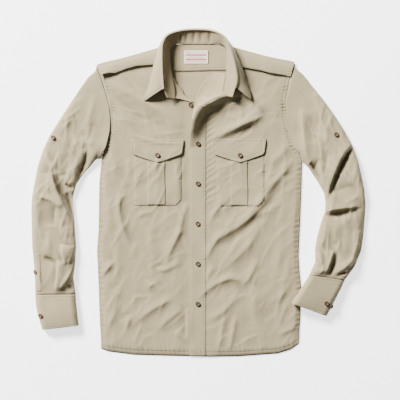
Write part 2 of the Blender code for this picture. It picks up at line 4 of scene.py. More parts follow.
import bmesh
import bpy
import numpy as np
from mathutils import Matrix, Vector


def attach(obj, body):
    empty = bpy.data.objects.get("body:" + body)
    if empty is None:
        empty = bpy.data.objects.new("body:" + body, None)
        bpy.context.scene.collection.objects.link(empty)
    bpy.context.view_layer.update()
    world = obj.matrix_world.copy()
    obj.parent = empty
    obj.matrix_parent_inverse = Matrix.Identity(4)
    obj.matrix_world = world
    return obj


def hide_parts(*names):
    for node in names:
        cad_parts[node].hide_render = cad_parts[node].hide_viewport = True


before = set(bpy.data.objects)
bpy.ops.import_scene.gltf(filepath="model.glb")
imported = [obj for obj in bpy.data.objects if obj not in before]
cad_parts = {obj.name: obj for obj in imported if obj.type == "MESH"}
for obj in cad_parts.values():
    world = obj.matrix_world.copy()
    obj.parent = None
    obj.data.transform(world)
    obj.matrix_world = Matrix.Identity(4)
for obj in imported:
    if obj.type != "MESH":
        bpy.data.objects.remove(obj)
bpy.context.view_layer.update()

# Back.
# The back panel: one width of khaki plain-weave cotton, cut from shoulder to hem and joined
# to the fronts by felled side seams. It lies flat on the table, and only the part inside the
# neck and a sliver of its hem show. All sizes are in millimetres.
Edge = namedtuple("Edge", "y x")
Level = namedtuple("Level", "x y")
RIGHT_SIDE = [
    Edge(321, -255.5), Edge(287, -243), Edge(247, -231), Edge(217, -224), Edge(185, -222.5),
    Edge(157, -225), Edge(122, -234), Edge(90, -242.5), Edge(70, -245), Edge(30, -249),
    Edge(-15, -250), Edge(-90, -251), Edge(-140, -255), Edge(-170, -253.5), Edge(-227, -251),
    Edge(-275, -249.5), Edge(-327, -247.5), Edge(-365, -245), Edge(-385, -245),
]
LEFT_SIDE = [
    Edge(325, 239.5), Edge(277, 225), Edge(235, 217), Edge(195, 219), Edge(160, 225),
    Edge(127, 235), Edge(105, 250), Edge(80, 257.5), Edge(47, 257), Edge(-15, 255),
    Edge(-77, 252.5), Edge(-127, 250), Edge(-155, 249), Edge(-190, 251), Edge(-227, 255),
    Edge(-265, 255), Edge(-302, 254), Edge(-340, 251), Edge(-372, 250),
]
HEM = [
    Level(-245, -385), Level(-225, -392), Level(-162, -400), Level(-77, -402.5),
    Level(27, -405), Level(100, -404), Level(197, -397), Level(230, -387), Level(250, -372),
]
SHOULDER = [
    Level(-255.5, 321), Level(-90, 369), Level(-50, 372.5), Level(50, 372.5),
    Level(80, 369), Level(239.5, 325),
]
CLOTH = (0.29, 0.243, 0.142)
# The next colour is painted shade: the dark the cloth's colour turns to in its hollows and creases.
CLOTH_PAINTED_SHADE = (0.09, 0.062, 0.032)
BACK_LEVEL = 1.2
BACK_HEM_SHOWS = 2.0
BACK_NECK_RISE = 1.3
MM = 0.001
MERGE = 0.00002
# Painted shade in hollows: the blur's pad, the depth that gives full shade, and the strongest share.
HOLLOW_PAD = 6
HOLLOW_DEPTH = 2.4
HOLLOW_PAINTED_SHADE = 0.65
WEAVE_PACE = 8.4
STITCH_PITCH = 2.6
STITCH_LENGTH = 1.9
STITCH_HALF_WIDTH = 0.35
STITCH_COLOUR = (0.42, 0.35, 0.25, 1)


def smooth(t):
    t = np.clip(t, 0, 1)
    return t * t * (3 - 2 * t)


def mix(a, b, t):
    return a + (b - a) * t


def read(table, key, value, at):
    """The value column of a table where its key column has these numbers."""
    rows = sorted(table, key=lambda row: getattr(row, key))
    keys = [getattr(row, key) for row in rows]
    return np.interp(at, keys, [getattr(row, value) for row in rows])


def ripple(x, y, size, seed):
    """Soft uneven waves of about this size, between -1 and 1."""
    dice = np.random.RandomState(seed)
    total = np.zeros(np.broadcast(x, y).shape)
    for _ in range(7):
        turn, phase = dice.uniform(0, 2 * math.pi, 2)
        pace = 2 * math.pi / (size * dice.uniform(0.7, 1.6))
        bend = 0.6 * np.sin(pace * 0.43 * (y * math.cos(turn) - x * math.sin(turn)) + phase)
        total = total + np.sin(pace * (x * math.cos(turn) + y * math.sin(turn)) + phase + bend)
    return total / 4


def join(x, y, z):
    """One grid of spots from three grids of numbers."""
    return np.stack([x, y, z], axis=-1)


def grid_shares(columns, rows):
    """Shares across and up for every corner of a grid, row by row."""
    return np.meshgrid(np.linspace(0, 1, columns + 1), np.linspace(0, 1, rows + 1))


def painted_hollow_shade(spots):
    """How far each corner lies below the cloth around it, as a share: the strength of the painted
    shade that darkens the cloth's colour in its hollows and creases.
    """
    z = spots[..., 2]
    around = np.pad(z, HOLLOW_PAD, mode="edge")
    for axis in (0, 1):
        for step in (1, 2, 3):
            ahead, back = np.roll(around, step, axis), np.roll(around, -step, axis)
            around = (around + ahead + back) / 3
    around = around[HOLLOW_PAD:-HOLLOW_PAD, HOLLOW_PAD:-HOLLOW_PAD]
    return np.clip((around - z) / HOLLOW_DEPTH, 0, 1) * HOLLOW_PAINTED_SHADE


def add_sheet(name, spots, wall=1.0, closed=False, flip=False, **marks):
    """A sheet of cloth through a grid of spots, [row, column, xyz], with its thickness below.
    Marks are numbers kept at every corner for the material to read."""
    rows, columns = spots.shape[0] - 1, spots.shape[1] - 1
    grid = bmesh.new()
    bmesh.ops.create_grid(grid, x_segments=columns, y_segments=rows, size=0.5)
    mesh = bpy.data.meshes.new(name)
    grid.to_mesh(mesh)
    grid.free()
    flat = np.zeros(len(mesh.vertices) * 3)
    mesh.vertices.foreach_get("co", flat)
    flat = flat.reshape(-1, 3)
    column = np.rint((flat[:, 0] + 0.5) * columns).astype(int)
    row = np.rint((flat[:, 1] + 0.5) * rows).astype(int)
    mesh.vertices.foreach_set("co", (spots[row, column] * MM).ravel())
    across = np.linalg.norm(np.diff(spots, axis=1, prepend=spots[:, :1]), axis=2).cumsum(1)
    up = np.linalg.norm(np.diff(spots, axis=0, prepend=spots[:1]), axis=2).cumsum(0)
    corner = np.zeros(len(mesh.loops), int)
    mesh.loops.foreach_get("vertex_index", corner)
    cut = np.stack([across[row, column][corner], up[row, column][corner]], axis=1)
    mesh.uv_layers.new(name="cut").data.foreach_set("uv", cut.ravel())
    # Painted shade: each corner keeps how far it lies in a hollow, and the material darkens its colour
    # there.
    marks["painted_shade"] = painted_hollow_shade(spots) + marks.get("painted_shade", 0)
    for mark, values in marks.items():
        values = np.broadcast_to(values, spots.shape[:2])[row, column]
        layer = mesh.attributes.new(mark, "FLOAT", "POINT")
        layer.data.foreach_set("value", values.astype(np.float32))
    if flip:
        mesh.flip_normals()
    if closed:
        grid = bmesh.new()
        grid.from_mesh(mesh)
        bmesh.ops.remove_doubles(grid, verts=grid.verts, dist=MERGE)
        grid.to_mesh(mesh)
        grid.free()
    mesh.shade_smooth()
    piece = bpy.data.objects.new(name + "_cloth", mesh)
    bpy.context.scene.collection.objects.link(piece)
    thick = piece.modifiers.new("thickness", "SOLIDIFY")
    thick.thickness = wall * MM
    thick.offset = -1
    return piece


class Wire:
    """A value in a material. Sums with + - * / lay down the nodes that do them."""

    def __init__(self, tree, socket=None):
        self.tree = tree
        self.socket = socket

    def node(self, kind, settings=None, inputs=None, output=0):
        """Any node: its type, settings, then values or wires for its inputs."""
        made = self.tree.nodes.new(kind)
        for key, value in (settings or {}).items():
            setattr(made, key, value)
        for key, value in (inputs or {}).items():
            if isinstance(value, Wire):
                self.tree.links.new(value.socket, made.inputs[key])
            else:
                made.inputs[key].default_value = value
        return Wire(self.tree, made.outputs[output])

    def place(self):
        """Where a point is on the piece, in metres."""
        return self.node("ShaderNodeTexCoord", output=3)

    def cut(self):
        """Where a point is on the flat cut, in millimetres."""
        return self.node("ShaderNodeUVMap", {"uv_map": "cut"})

    def noise(self, scale, **inputs):
        return self.node("ShaderNodeTexNoise", None, {"Vector": self, "Scale": scale, **inputs})

    def stretch(self, scale, turn=(0, 0, 0)):
        return self.node("ShaderNodeMapping", None, {
            "Vector": self, "Rotation": turn, "Scale": scale})

    def split(self):
        return [self.node("ShaderNodeSeparateXYZ", None, {"Vector": self}, axis)
                for axis in (0, 1)]

    def mark(self, name):
        """A number that add_sheet kept at every corner."""
        return self.node("ShaderNodeAttribute", {"attribute_name": name}, output=2)

    def sum(self, operation, a, b=0.0):
        return self.node("ShaderNodeMath", {"operation": operation}, {0: a, 1: b})

    def __add__(self, other):
        return self.sum("ADD", self, other)

    def __radd__(self, other):
        return self.sum("ADD", other, self)

    def __sub__(self, other):
        return self.sum("SUBTRACT", self, other)

    def __mul__(self, other):
        return self.sum("MULTIPLY", self, other)

    def __mod__(self, other):
        return self.sum("FLOORED_MODULO", self, other)

    def __abs__(self):
        return self.sum("ABSOLUTE", self)

    def sine(self):
        return self.sum("SINE", self)

    def most(self, other):
        return self.sum("MAXIMUM", self, other)

    def below(self, limit, soft):
        """1 where the value is under the limit, 0 where it is over, over a soft step."""
        return self.node("ShaderNodeMapRange", {"interpolation_type": "SMOOTHSTEP"},
                         {0: self, 1: limit - soft, 2: limit + soft, 3: 1.0, 4: 0.0})

    def blend(self, a, b):
        """Colour a where the value is 0, colour b where it is 1."""
        return self.node("ShaderNodeMix", {"data_type": "RGBA"}, {0: self, 6: a, 7: b}, 2)

    def link(self, shader, name):
        self.tree.links.new(self.socket, shader.inputs[name])


def plain_material(name):
    """A material with its shader, and a wire to start its nodes from."""
    material = bpy.data.materials.new(name)
    material.use_nodes = True
    tree = material.node_tree
    return material, tree.nodes["Principled BSDF"], Wire(tree)


def cloth_material(name, colour=CLOTH, stitches=(1.6,), depth=1.0):
    """Plain-weave cotton with its thread, slubs, soft wrinkles and rows of stitches, and painted shade
    that darkens its colour in the hollows and creases the piece marks.
    The stitches lie at these distances in from the edge that the piece marks."""
    material, shader, start = plain_material(name)
    place, cut = start.place(), start.cut()
    u, v = cut.split()
    edge, run, painted_shade = start.mark("edge"), start.mark("run"), start.mark("painted_shade")
    weave = (u * WEAVE_PACE).sine() * (v * WEAVE_PACE).sine()
    long_slubs = cut.stretch((0.9, 0.05, 1)).noise(1.0, Detail=3.0)
    cross_slubs = cut.stretch((0.05, 0.9, 1)).noise(1.0, Detail=3.0)
    wrinkles = place.noise(22.0, Detail=2.5, Roughness=0.45, Distortion=0.6)
    crumple = place.stretch((30.0, 12.0, 30.0), (0, 0, 0.9)).noise(
        1.0, Detail=2.0, Distortion=0.3)
    patches = place.noise(9.0)
    wash = place.noise(6.0, Detail=4.0)
    thread = run % STITCH_PITCH
    height = weave * 0.04 + (long_slubs + cross_slubs) * 0.12 + wrinkles * 1.5 * depth
    height = height + abs(crumple - 0.5) * patches * (3.0 * depth)
    sewn = None
    for offset in stitches:
        gap = abs(edge - offset)
        row = gap.below(STITCH_HALF_WIDTH, 0.12) * thread.below(STITCH_LENGTH, 0.15)
        height = height + row * 0.25 - gap.below(1.5, 1.4) * 0.45
        sewn = row if sewn is None else sewn.most(row)
    tint = (wash - 0.5) * 0.5 + (long_slubs + cross_slubs - 1.0) * 0.35 + 0.5
    light = tuple(min(channel * 1.09, 1) for channel in colour) + (1,)
    dark = tuple(channel * 0.91 for channel in colour) + (1,)
    shade = (sewn * 0.35).blend(tint.blend(dark, light), STITCH_COLOUR)
    # Painted shade: the colour darkens in the cloth's hollows and creases, by the share that add_sheet
    # marks.
    painted_shade.blend(shade, (*CLOTH_PAINTED_SHADE, 1)).link(shader, "Base Color")
    start.node("ShaderNodeBump", None, {
        "Strength": 1.0, "Distance": MM, "Height": height}).link(shader, "Normal")
    shader.inputs["Roughness"].default_value = 0.92
    shader.inputs["Specular IOR Level"].default_value = 0.2
    shader.inputs["Sheen Weight"].default_value = 0.12
    shader.inputs["Sheen Roughness"].default_value = 0.6
    return material


def dress(piece, material, slot, *nodes):
    """Give a piece its material, and its place on the part."""
    piece.data.materials.append(material)
    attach(piece, "root")
    if nodes:
        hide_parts(*nodes)


def lay_back():
    u, v = grid_shares(90, 130)
    v = 1 - v
    right_y = mix(RIGHT_SIDE[0].y, RIGHT_SIDE[-1].y, v)
    left_y = mix(LEFT_SIDE[0].y, LEFT_SIDE[-1].y, v)
    x = mix(read(RIGHT_SIDE, "y", "x", right_y) + 1, read(LEFT_SIDE, "y", "x", left_y) - 1, u)
    y = mix(right_y, left_y, u)
    top = read(SHOULDER, "x", "y", x) - mix(RIGHT_SIDE[0].y, LEFT_SIDE[0].y, u)
    foot = read(HEM, "x", "y", x) - mix(RIGHT_SIDE[-1].y, LEFT_SIDE[-1].y, u)
    y = y + top * (1 - v) ** 2 + (foot - BACK_HEM_SHOWS) * v ** 3
    rise = BACK_NECK_RISE * smooth((y - 200) / 60) * (y < 300)
    z = BACK_LEVEL + rise * (0.5 + 0.5 * ripple(x, y, 70, 3))
    hem = y - read(HEM, "x", "y", x) + BACK_HEM_SHOWS
    return add_sheet("back", join(x, y, z), edge=hem, run=x)


back = lay_back()
dress(back, cloth_material("back_cloth", stitches=(1.5, 12.0), depth=0.8), "cloth", "back")

# Yoke and label.
# The yoke's inner layer crosses the back of the neck, sewn over the top of the back. The neck
# label, a woven tape folded under at its ends, is sewn to it along all four sides.
YOKE_LEVEL = 2.7
YOKE_SEAM_Y = 307.0
YOKE_TUCK = 1.6
LABEL_SIZE = (60.0, 33.0)
LABEL_PLACE = (-7.0, 341.5)
INSIDE = (0.3, 0.243, 0.14)
LABEL_RED = (0.45, 0.06, 0.06, 1)
LABEL_PALE = (0.72, 0.66, 0.58, 1)
LABEL_DULL = (0.58, 0.51, 0.44, 1)
NECK_HALF_WIDTH = 62


def lay_yoke():
    u, v = grid_shares(110, 16)
    x = mix(RIGHT_SIDE[0].x + 6, LEFT_SIDE[0].x - 6, u)
    low = YOKE_SEAM_Y + 1.2 * np.sin(x / 34)
    y = mix(low, read(SHOULDER, "x", "y", x) + YOKE_TUCK * (np.abs(x) < NECK_HALF_WIDTH), v)
    z = YOKE_LEVEL + 0.3 * ripple(x, y, 50, 8) * smooth((372 - y) / 8)
    return add_sheet("yoke_back", join(x, y, z), edge=y - low, run=x)


def label_material():
    """Off-white woven tape with red stripes and border."""
    material, shader, start = plain_material("label_tape")
    cut = start.cut()
    u, v = cut.split()
    middle_u = abs(u - LABEL_SIZE[0] / 2)
    middle_v = abs(v - LABEL_SIZE[1] / 2)
    inside = middle_u.below(25.0, 0.3)
    wide = abs(middle_v - 5.5).below(2.0, 0.25) * inside
    thin = abs(middle_v - 11.0).below(0.5, 0.25) * inside
    centre = middle_v.below(0.7, 0.25) * middle_u.below(17.0, 0.3)
    fleck = cut.noise(0.7, Detail=2.0)
    red = (wide.most(thin).most(centre)) * (0.7 + fleck * 0.5)
    ground = fleck.blend(LABEL_PALE, LABEL_DULL)
    red.blend(ground, LABEL_RED).link(shader, "Base Color")
    height = (u * 7.0).sine() * (v * 9.0).sine() * 0.1 + red * 0.15
    start.node("ShaderNodeBump", None, {"Distance": MM, "Height": height}).link(
        shader, "Normal")
    shader.inputs["Roughness"].default_value = 0.7
    return material


yoke = lay_yoke()
dress(yoke, cloth_material("yoke_cloth", INSIDE, (1.5, 6.5), 0.6), "cloth_inside", "yoke_back")
label_u, label_v = grid_shares(40, 24)
label_x = LABEL_PLACE[0] + (label_u - 0.5) * LABEL_SIZE[0]
label_y = LABEL_PLACE[1] + (label_v - 0.5) * LABEL_SIZE[1]
label_z = YOKE_LEVEL + 0.9 + 1.1 * np.abs(label_u - 0.5) ** 3 * 8 * label_v
label = add_sheet("label", join(label_x, label_y, label_z), wall=0.5)
dress(label, label_material(), "label", "label")

# Fronts.
# Two front panels of the same cotton, felled to the back at the sides. The left one laps over
# the right one and is buttoned to it. They lie on the back with the creases of a shirt that
# was smoothed out by hand: soft diagonals from the underarms and pulls at the sewn edges.
FRONT_LEVEL = 6.0
LAP_DROP = 1.9
SIDE_EDGE = 2.7
SHOULDER_EDGE = 4.6
ARMHOLE_EDGE = 5.5
FOLD_STEPS = 12
FOLD_TAPER = 0.7
FOLD_CRISPNESS = 1.5
FOLD_MARGIN = 2.6
SLOPE_STEP = 1.5
RIGHT_NECK = [
    Edge(362, -70), Edge(335, -72), Edge(310, -69), Edge(285, -62.5), Edge(265, -51),
    Edge(250, -39), Edge(237, -29), Edge(230, -13), Edge(215, 0), Edge(197, 12),
    Edge(172, 16), Edge(147, 16), Edge(-404, 16),
]
LEFT_NECK = [
    Edge(362, 68), Edge(335, 69), Edge(307, 67.5), Edge(280, 62.5), Edge(260, 60),
    Edge(244, 59), Edge(238, 41), Edge(226, 19), Edge(215, 0), Edge(202, -8.5),
    Edge(184, -15), Edge(147, -21), Edge(110, -22.5), Edge(-404, -22.5),
]
Lift = namedtuple("Lift", "y height roll")
RIGHT_LIFT = [
    Lift(362, 4, 30), Lift(320, 5, 30), Lift(290, 4, 26), Lift(250, 2.5, 26), Lift(230, 3, 26),
    Lift(205, 0, 26),
]
LEFT_LIFT = [
    Lift(362, 4, 30), Lift(307, 6, 32), Lift(262, 10, 36), Lift(244, 20, 38), Lift(226, 25, 36),
    Lift(205, 26, 28), Lift(184, 24, 21), Lift(160, 18, 18), Lift(140, 9, 20), Lift(118, 0, 24),
]
# Folds run from their start past the middle point to their end. Left and right are how far
# the cloth slopes on either side, seen along the fold; a height below 0 is a trough.
Fold = namedtuple("Fold", "x0 y0 x1 y1 x2 y2 left right height")
BODY_FOLDS = [
    # left front: the long diagonal from the underarm and the wave above the pocket
    Fold(240, 88, 186, 24, 118, -60, 7, 18, 5), Fold(176, -2, 118, -66, 34, -116, 7, 20, 6),
    Fold(64, -98, 38, -124, 18, -166, 6, 12, 4.5), Fold(232, 64, 122, -78, 40, -128, 9, 7, -1.5),
    Fold(162, 198, 118, 176, 30, 136, 8, 20, 8), Fold(150, 178, 112, 160, 40, 128, 16, 7, -2.5),
    Fold(228, 200, 180, 214, 120, 262, 10, 18, 2.5), Fold(236, 150, 214, 110, 176, 70, 8, 14, 3),
    Fold(160, -62, 118, -134, 50, -194, 9, 18, 4.5),
    Fold(146, -160, 130, -200, 108, -232, 7, 12, 4), Fold(116, -226, 66, -214, -4, -262, 6, 14, 5),
    Fold(98, -236, 64, -290, 18, -312, 8, 14, 3.5), Fold(238, -292, 244, -326, 196, -350, 5, 12, 5),
    Fold(142, -228, 138, -280, 148, -345, 16, 18, 4), Fold(92, -300, 84, -350, 74, -398, 6, 9, 4),
    Fold(64, -310, 56, -350, 48, -398, 6, 8, 3.5), Fold(246, -12, 238, -80, 240, -146, 6, 9, 3),
    Fold(206, -70, 200, -150, 182, -220, 14, 16, 2.5),
    Fold(36, -176, 26, -196, 18, -222, 5, 8, 2.5), Fold(232, -170, 214, -220, 206, -270, 12, 16, 3),
    Fold(188, 100, 180, 60, 166, 20, 8, 12, 2.5), Fold(60, -6, 44, -40, 22, -80, 8, 12, 3),
    # right front: from the shoulder across the chest, then the waves down to the hem
    Fold(-230, 284, -150, 236, -40, 172, 16, 13, 6), Fold(-216, 262, -160, 205, -70, 168, 9, 9, -2),
    Fold(-180, -2, -199, -42, -166, -146, 5, 15, 6),
    Fold(-214, -166, -230, -190, -248, -209, 4, 14, 6),
    Fold(-26, -22, -44, -72, -50, -106, 6, 10, 3), Fold(-40, -88, -60, -118, -84, -178, 6, 16, 5.5),
    Fold(-104, -182, -86, -190, -44, -168, 12, 5, 3.5),
    Fold(-64, -262, -110, -284, -168, -328, 7, 17, 5),
    Fold(-40, -288, -72, -310, -104, -342, 7, 13, 3.8),
    Fold(-30, -286, -28, -330, -30, -374, 9, 4, 4),
    Fold(-170, -306, -176, -322, -182, -340, 4, 8, 3.5),
    Fold(-196, -262, -216, -310, -234, -352, 7, 13, 3),
    Fold(-112, -64, -120, -110, -110, -158, 12, 12, 3),
    Fold(-146, -60, -140, -50, -112, -44, 8, 5, 2.5),
    Fold(-200, -90, -206, -160, -196, -230, 12, 12, 2.5),
    Fold(-130, -214, -120, -226, -92, -240, 7, 5, 2.5),
    Fold(-60, -340, -50, -352, -32, -362, 10, 5, 3),
    Fold(-236, 40, -226, -30, -230, -110, 12, 10, 3),
    Fold(-228, 130, -212, 80, -214, 30, 12, 10, 2.5),
]


def folds(table, x, y):
    """Height that a table of folds adds at these points. A fold's crest is a crisp line."""
    total = np.zeros(x.shape)
    share = np.linspace(0, 1, FOLD_STEPS + 1)
    for fold in table:
        bend_x = 2 * fold.x1 - (fold.x0 + fold.x2) / 2
        bend_y = 2 * fold.y1 - (fold.y0 + fold.y2) / 2
        line_x = (1 - share) ** 2 * fold.x0 + 2 * share * (1 - share) * bend_x
        line_y = (1 - share) ** 2 * fold.y0 + 2 * share * (1 - share) * bend_y
        line_x = line_x + share ** 2 * fold.x2
        line_y = line_y + share ** 2 * fold.y2
        margin = FOLD_MARGIN * max(fold.left, fold.right)
        near = (x > line_x.min() - margin) & (x < line_x.max() + margin)
        near &= (y > line_y.min() - margin) & (y < line_y.max() + margin)
        if not near.any():
            continue
        at_x, at_y = x[near], y[near]
        nearest = np.full(at_x.shape, 1e9)
        side = np.zeros(at_x.shape)
        where = np.zeros(at_x.shape)
        for index in range(FOLD_STEPS):
            run_x, run_y = line_x[index + 1] - line_x[index], line_y[index + 1] - line_y[index]
            off_x, off_y = at_x - line_x[index], at_y - line_y[index]
            part = np.clip((off_x * run_x + off_y * run_y) / (run_x ** 2 + run_y ** 2), 0, 1)
            gap = np.hypot(off_x - part * run_x, off_y - part * run_y)
            closer = gap < nearest
            nearest = np.where(closer, gap, nearest)
            side = np.where(closer, run_x * off_y - run_y * off_x, side)
            where = np.where(closer, (index + part) / FOLD_STEPS, where)
        reach = np.where(side > 0, fold.left, fold.right)
        taper = np.sin(math.pi * np.clip(where, 0.001, 0.999)) ** FOLD_TAPER
        total[near] += fold.height * taper * np.exp(-((nearest / reach) ** FOLD_CRISPNESS))
    return total


def small_creases(seed, count, low, high, turn, height):
    """Small crisp creases scattered over a stretch of cloth, mostly running one way."""
    dice = np.random.RandomState(seed)
    found = []
    for _ in range(count):
        x, y = dice.uniform(low[0], high[0]), dice.uniform(low[1], high[1])
        angle = math.radians(turn + dice.normal(0, 24))
        half = dice.uniform(14, 48)
        run_x, run_y = math.cos(angle) * half, math.sin(angle) * half
        bow = dice.normal(0, 0.12)
        wide = dice.uniform(2.5, 6)
        found.append(Fold(x - run_x, y - run_y, x - run_y * bow, y + run_x * bow, x + run_x,
                          y + run_y, wide, wide * dice.uniform(0.6, 2.2),
                          height * dice.uniform(0.5, 1.3)))
    return found


BODY_CREASES = (small_creases(5, 110, (-240, -390), (-30, 90), 62, 1.1)
                + small_creases(6, 110, (30, -390), (240, 90), 50, 1.1)
                + small_creases(7, 40, (-210, 120), (-60, 290), -35, 1.0)
                + small_creases(8, 40, (60, 120), (200, 290), 28, 1.0))


def pucker(distance, run, pitch, reach, height, seed):
    """Small pulls across a line of sewing, uneven in length and spacing."""
    drift = ripple(run, run * 0, pitch * 7, seed) * 1.9
    size = 0.55 + 0.45 * ripple(run, run * 0 + 40, pitch * 4, seed + 1)
    wave = np.sin(2 * math.pi * run / pitch + drift + distance * 0.12)
    return height * size * wave * np.exp(-((distance / reach) ** 2))


def front_height(x, y, left):
    """Height of a front's outer face over a point of the table."""
    side = LEFT_SIDE if left else RIGHT_SIDE
    neck = LEFT_NECK if left else RIGHT_NECK
    lift = LEFT_LIFT if left else RIGHT_LIFT
    inward = -1 if left else 1
    from_side = (x - read(side, "y", "x", y)) * inward
    from_neck = (read(neck, "y", "x", y) - x) * inward
    from_hem = y - read(HEM, "x", "y", x)
    from_shoulder = read(SHOULDER, "x", "y", x) - y
    in_armhole = smooth((y - (60 if left else 70)) / 30)
    edge = mix(SIDE_EDGE, ARMHOLE_EDGE, in_armhole)
    lap = smooth((60 + x * inward) / 30)
    level = FRONT_LEVEL - (0 if left else LAP_DROP) * lap
    hem_edge = SIDE_EDGE + (LAP_DROP if left else 0) * lap
    z = mix(edge, level, smooth(from_side / 16))
    z = mix(hem_edge, z, smooth(from_hem / 18))
    z = mix(SHOULDER_EDGE, z, smooth(from_shoulder / 15))
    free = smooth(from_side / 30) * smooth(from_hem / 30) * smooth(from_shoulder / 45)
    z = z + folds(BODY_FOLDS + BODY_CREASES, x, y) * free
    z = z + 0.8 * ripple(x, y, 70, 21) * free
    z = z + pucker(from_side - 9, y, 7.5, 6, 2.2, 31) * in_armhole * smooth(from_shoulder / 50)
    z = z + pucker(from_side - 6, y, 13, 8, 0.9, 33) * (1 - in_armhole) * smooth(from_hem / 30)
    z = z + pucker(from_hem - 12, x, 11, 9, 0.8, 35) * smooth(from_side / 20)
    if left:
        z = z + pucker(x - 28, y - 0.9 * x, 15, 12, 1.3, 37) * smooth((y + 60) / 60) * (x > 17)
    raised = read(lift, "y", "height", y)
    roll = read(lift, "y", "roll", y)
    return z + raised * np.exp(-((np.maximum(from_neck, 0) / roll) ** 2))


def over_front(x, y, left, out=0.0):
    """Spots on a front's face, or this far out from it, as a grid for add_sheet."""
    z = front_height(x, y, left)
    slope_x = (front_height(x + SLOPE_STEP, y, left) - z) / SLOPE_STEP
    slope_y = (front_height(x, y + SLOPE_STEP, left) - z) / SLOPE_STEP
    size = np.sqrt(slope_x ** 2 + slope_y ** 2 + 1)
    return join(x - slope_x / size * out, y - slope_y / size * out, z + out / size)


def lay_front(name, left):
    neck = LEFT_NECK if left else RIGHT_NECK
    side = LEFT_SIDE if left else RIGHT_SIDE
    across, up = grid_shares(88, 250)
    down = 1 - up
    centre = mix(neck[0].y, neck[-1].y, down)
    outer = mix(side[0].y, side[-1].y, down)
    if left:
        across = 1 - across
    x = mix(read(side, "y", "x", outer), read(neck, "y", "x", centre), across)
    y = mix(outer, centre, across)
    top = read(SHOULDER, "x", "y", x) - mix(side[0].y, neck[0].y, across)
    foot = read(HEM, "x", "y", x) - mix(side[-1].y, neck[-1].y, across)
    y = y + top * (1 - down) ** 6 * (1 - across) + foot * down ** 4
    hem = y - read(HEM, "x", "y", x)
    seam = np.abs(x - read(side, "y", "x", y))
    arm = smooth((y - 80) / 20)
    edge = np.minimum(hem, seam + 10 - 9 * arm)
    return add_sheet(name, over_front(x, y, left), edge=edge, run=np.where(hem < seam, x, y))


front_right = lay_front("front_right", False)
front_left = lay_front("front_left", True)
front_cloth = cloth_material("front_cotton", stitches=(1.5, 9.5))
for name, front in (("front_right", front_right), ("front_left", front_left)):
    dress(front, front_cloth, "cloth", name)

# Shoulder edges.
# The front edges of the yoke's outer layer. They lap over the tops of the fronts, stitched
# along the shoulder, and their lower edges stand free and gape a little.
Lip = namedtuple("Lip", "x y gape")
RIGHT_LIP = [
    Lip(-245, 291, 8), Lip(-229, 298, 9), Lip(-214, 301, 6), Lip(-200, 301, 2.5),
    Lip(-177, 312, 4), Lip(-155, 319, 5), Lip(-121, 321.5, 4), Lip(-82, 325, 2),
]
LEFT_LIP = [
    Lip(82, 322, 2), Lip(106, 316, 3.5), Lip(151, 308, 4), Lip(176, 300, 5), Lip(200, 295, 4),
    Lip(217, 292, 2),
]


def lay_shoulder(name, lip, left):
    u, v = grid_shares(80, 20)
    x = mix(lip[0].x, lip[-1].x, u)
    low = read(lip, "x", "y", x)
    y = mix(low, read(SHOULDER, "x", "y", x) - 1.5, v)
    outer = read(LEFT_SIDE if left else RIGHT_SIDE, "y", "x", y)
    out = (u if left else 1 - u) ** 6
    x = mix(x, outer + (-1.5 if left else 1.5), out)
    low = read(lip, "x", "y", x)
    spots = over_front(x, y, left, 1.3)
    spots[..., 2] += read(lip, "x", "gape", x) * (1 - v) ** 1.6 + 2.5 * np.sin(math.pi * v) ** 0.8
    return add_sheet(name, spots, edge=y - low, run=x)


yoke_front_right = lay_shoulder("yoke_front_right", RIGHT_LIP, False)
yoke_front_left = lay_shoulder("yoke_front_left", LEFT_LIP, True)
shoulder_cloth = cloth_material("shoulder_cloth", stitches=(1.8,), depth=0.7)
for name, piece in (("yoke_front_right", yoke_front_right),
                    ("yoke_front_left", yoke_front_left)):
    dress(piece, shoulder_cloth, "cloth", name)

# Placket.
# The strip of doubled cloth down the edge of the left front, topstitched on both sides, which
# carries the buttonholes. It stands up with the front's edge at the open neck.
PLACKET_SEAM = 17.0
PLACKET_TOP = 219.0
LAYER = 0.9
LAYER_WALL = 0.75


def lay_placket():
    u, v = grid_shares(16, 260)
    y = mix(read(HEM, "x", "y", 0.0) + 0.5, PLACKET_TOP, v)
    edge = read(LEFT_NECK, "y", "x", y) - 0.8
    x = mix(edge, PLACKET_SEAM, u)
    spots = over_front(x, y, True, LAYER)
    spots[..., 2] += pucker(PLACKET_SEAM - 3 - x, y, 8, 6, 0.45, 51)
    inset = np.minimum(x - edge, PLACKET_SEAM - x)
    return add_sheet("placket", spots, LAYER_WALL, edge=inset, run=y)


placket = lay_placket()
dress(placket, cloth_material("placket_cloth", stitches=(3.0,), depth=0.6), "cloth", "placket")

# Chest pockets.
# Two patch pockets, each with a box pleat down its middle and a pointed flap that buttons
# over its mouth. They are folded under and topstitched to the fronts.
Pocket = namedtuple("Pocket", "x0 x1 top bottom pleat0 pleat1 flap0 flap1 flap_top tip_x")
POCKETS = {
    "right": Pocket(-162, -44.5, 130, -29, -128.5, -84.5, -172, -38, 136.5, -103),
    "left": Pocket(45, 162, 130, -30, 78, 121.5, 30, 167, 138, 102),
}
FLAP_CORNER_Y = 102.0
FLAP_TIP_Y = 79.0
FLAP_BUTTON_Y = 96.5
POCKET_CORNER = 14


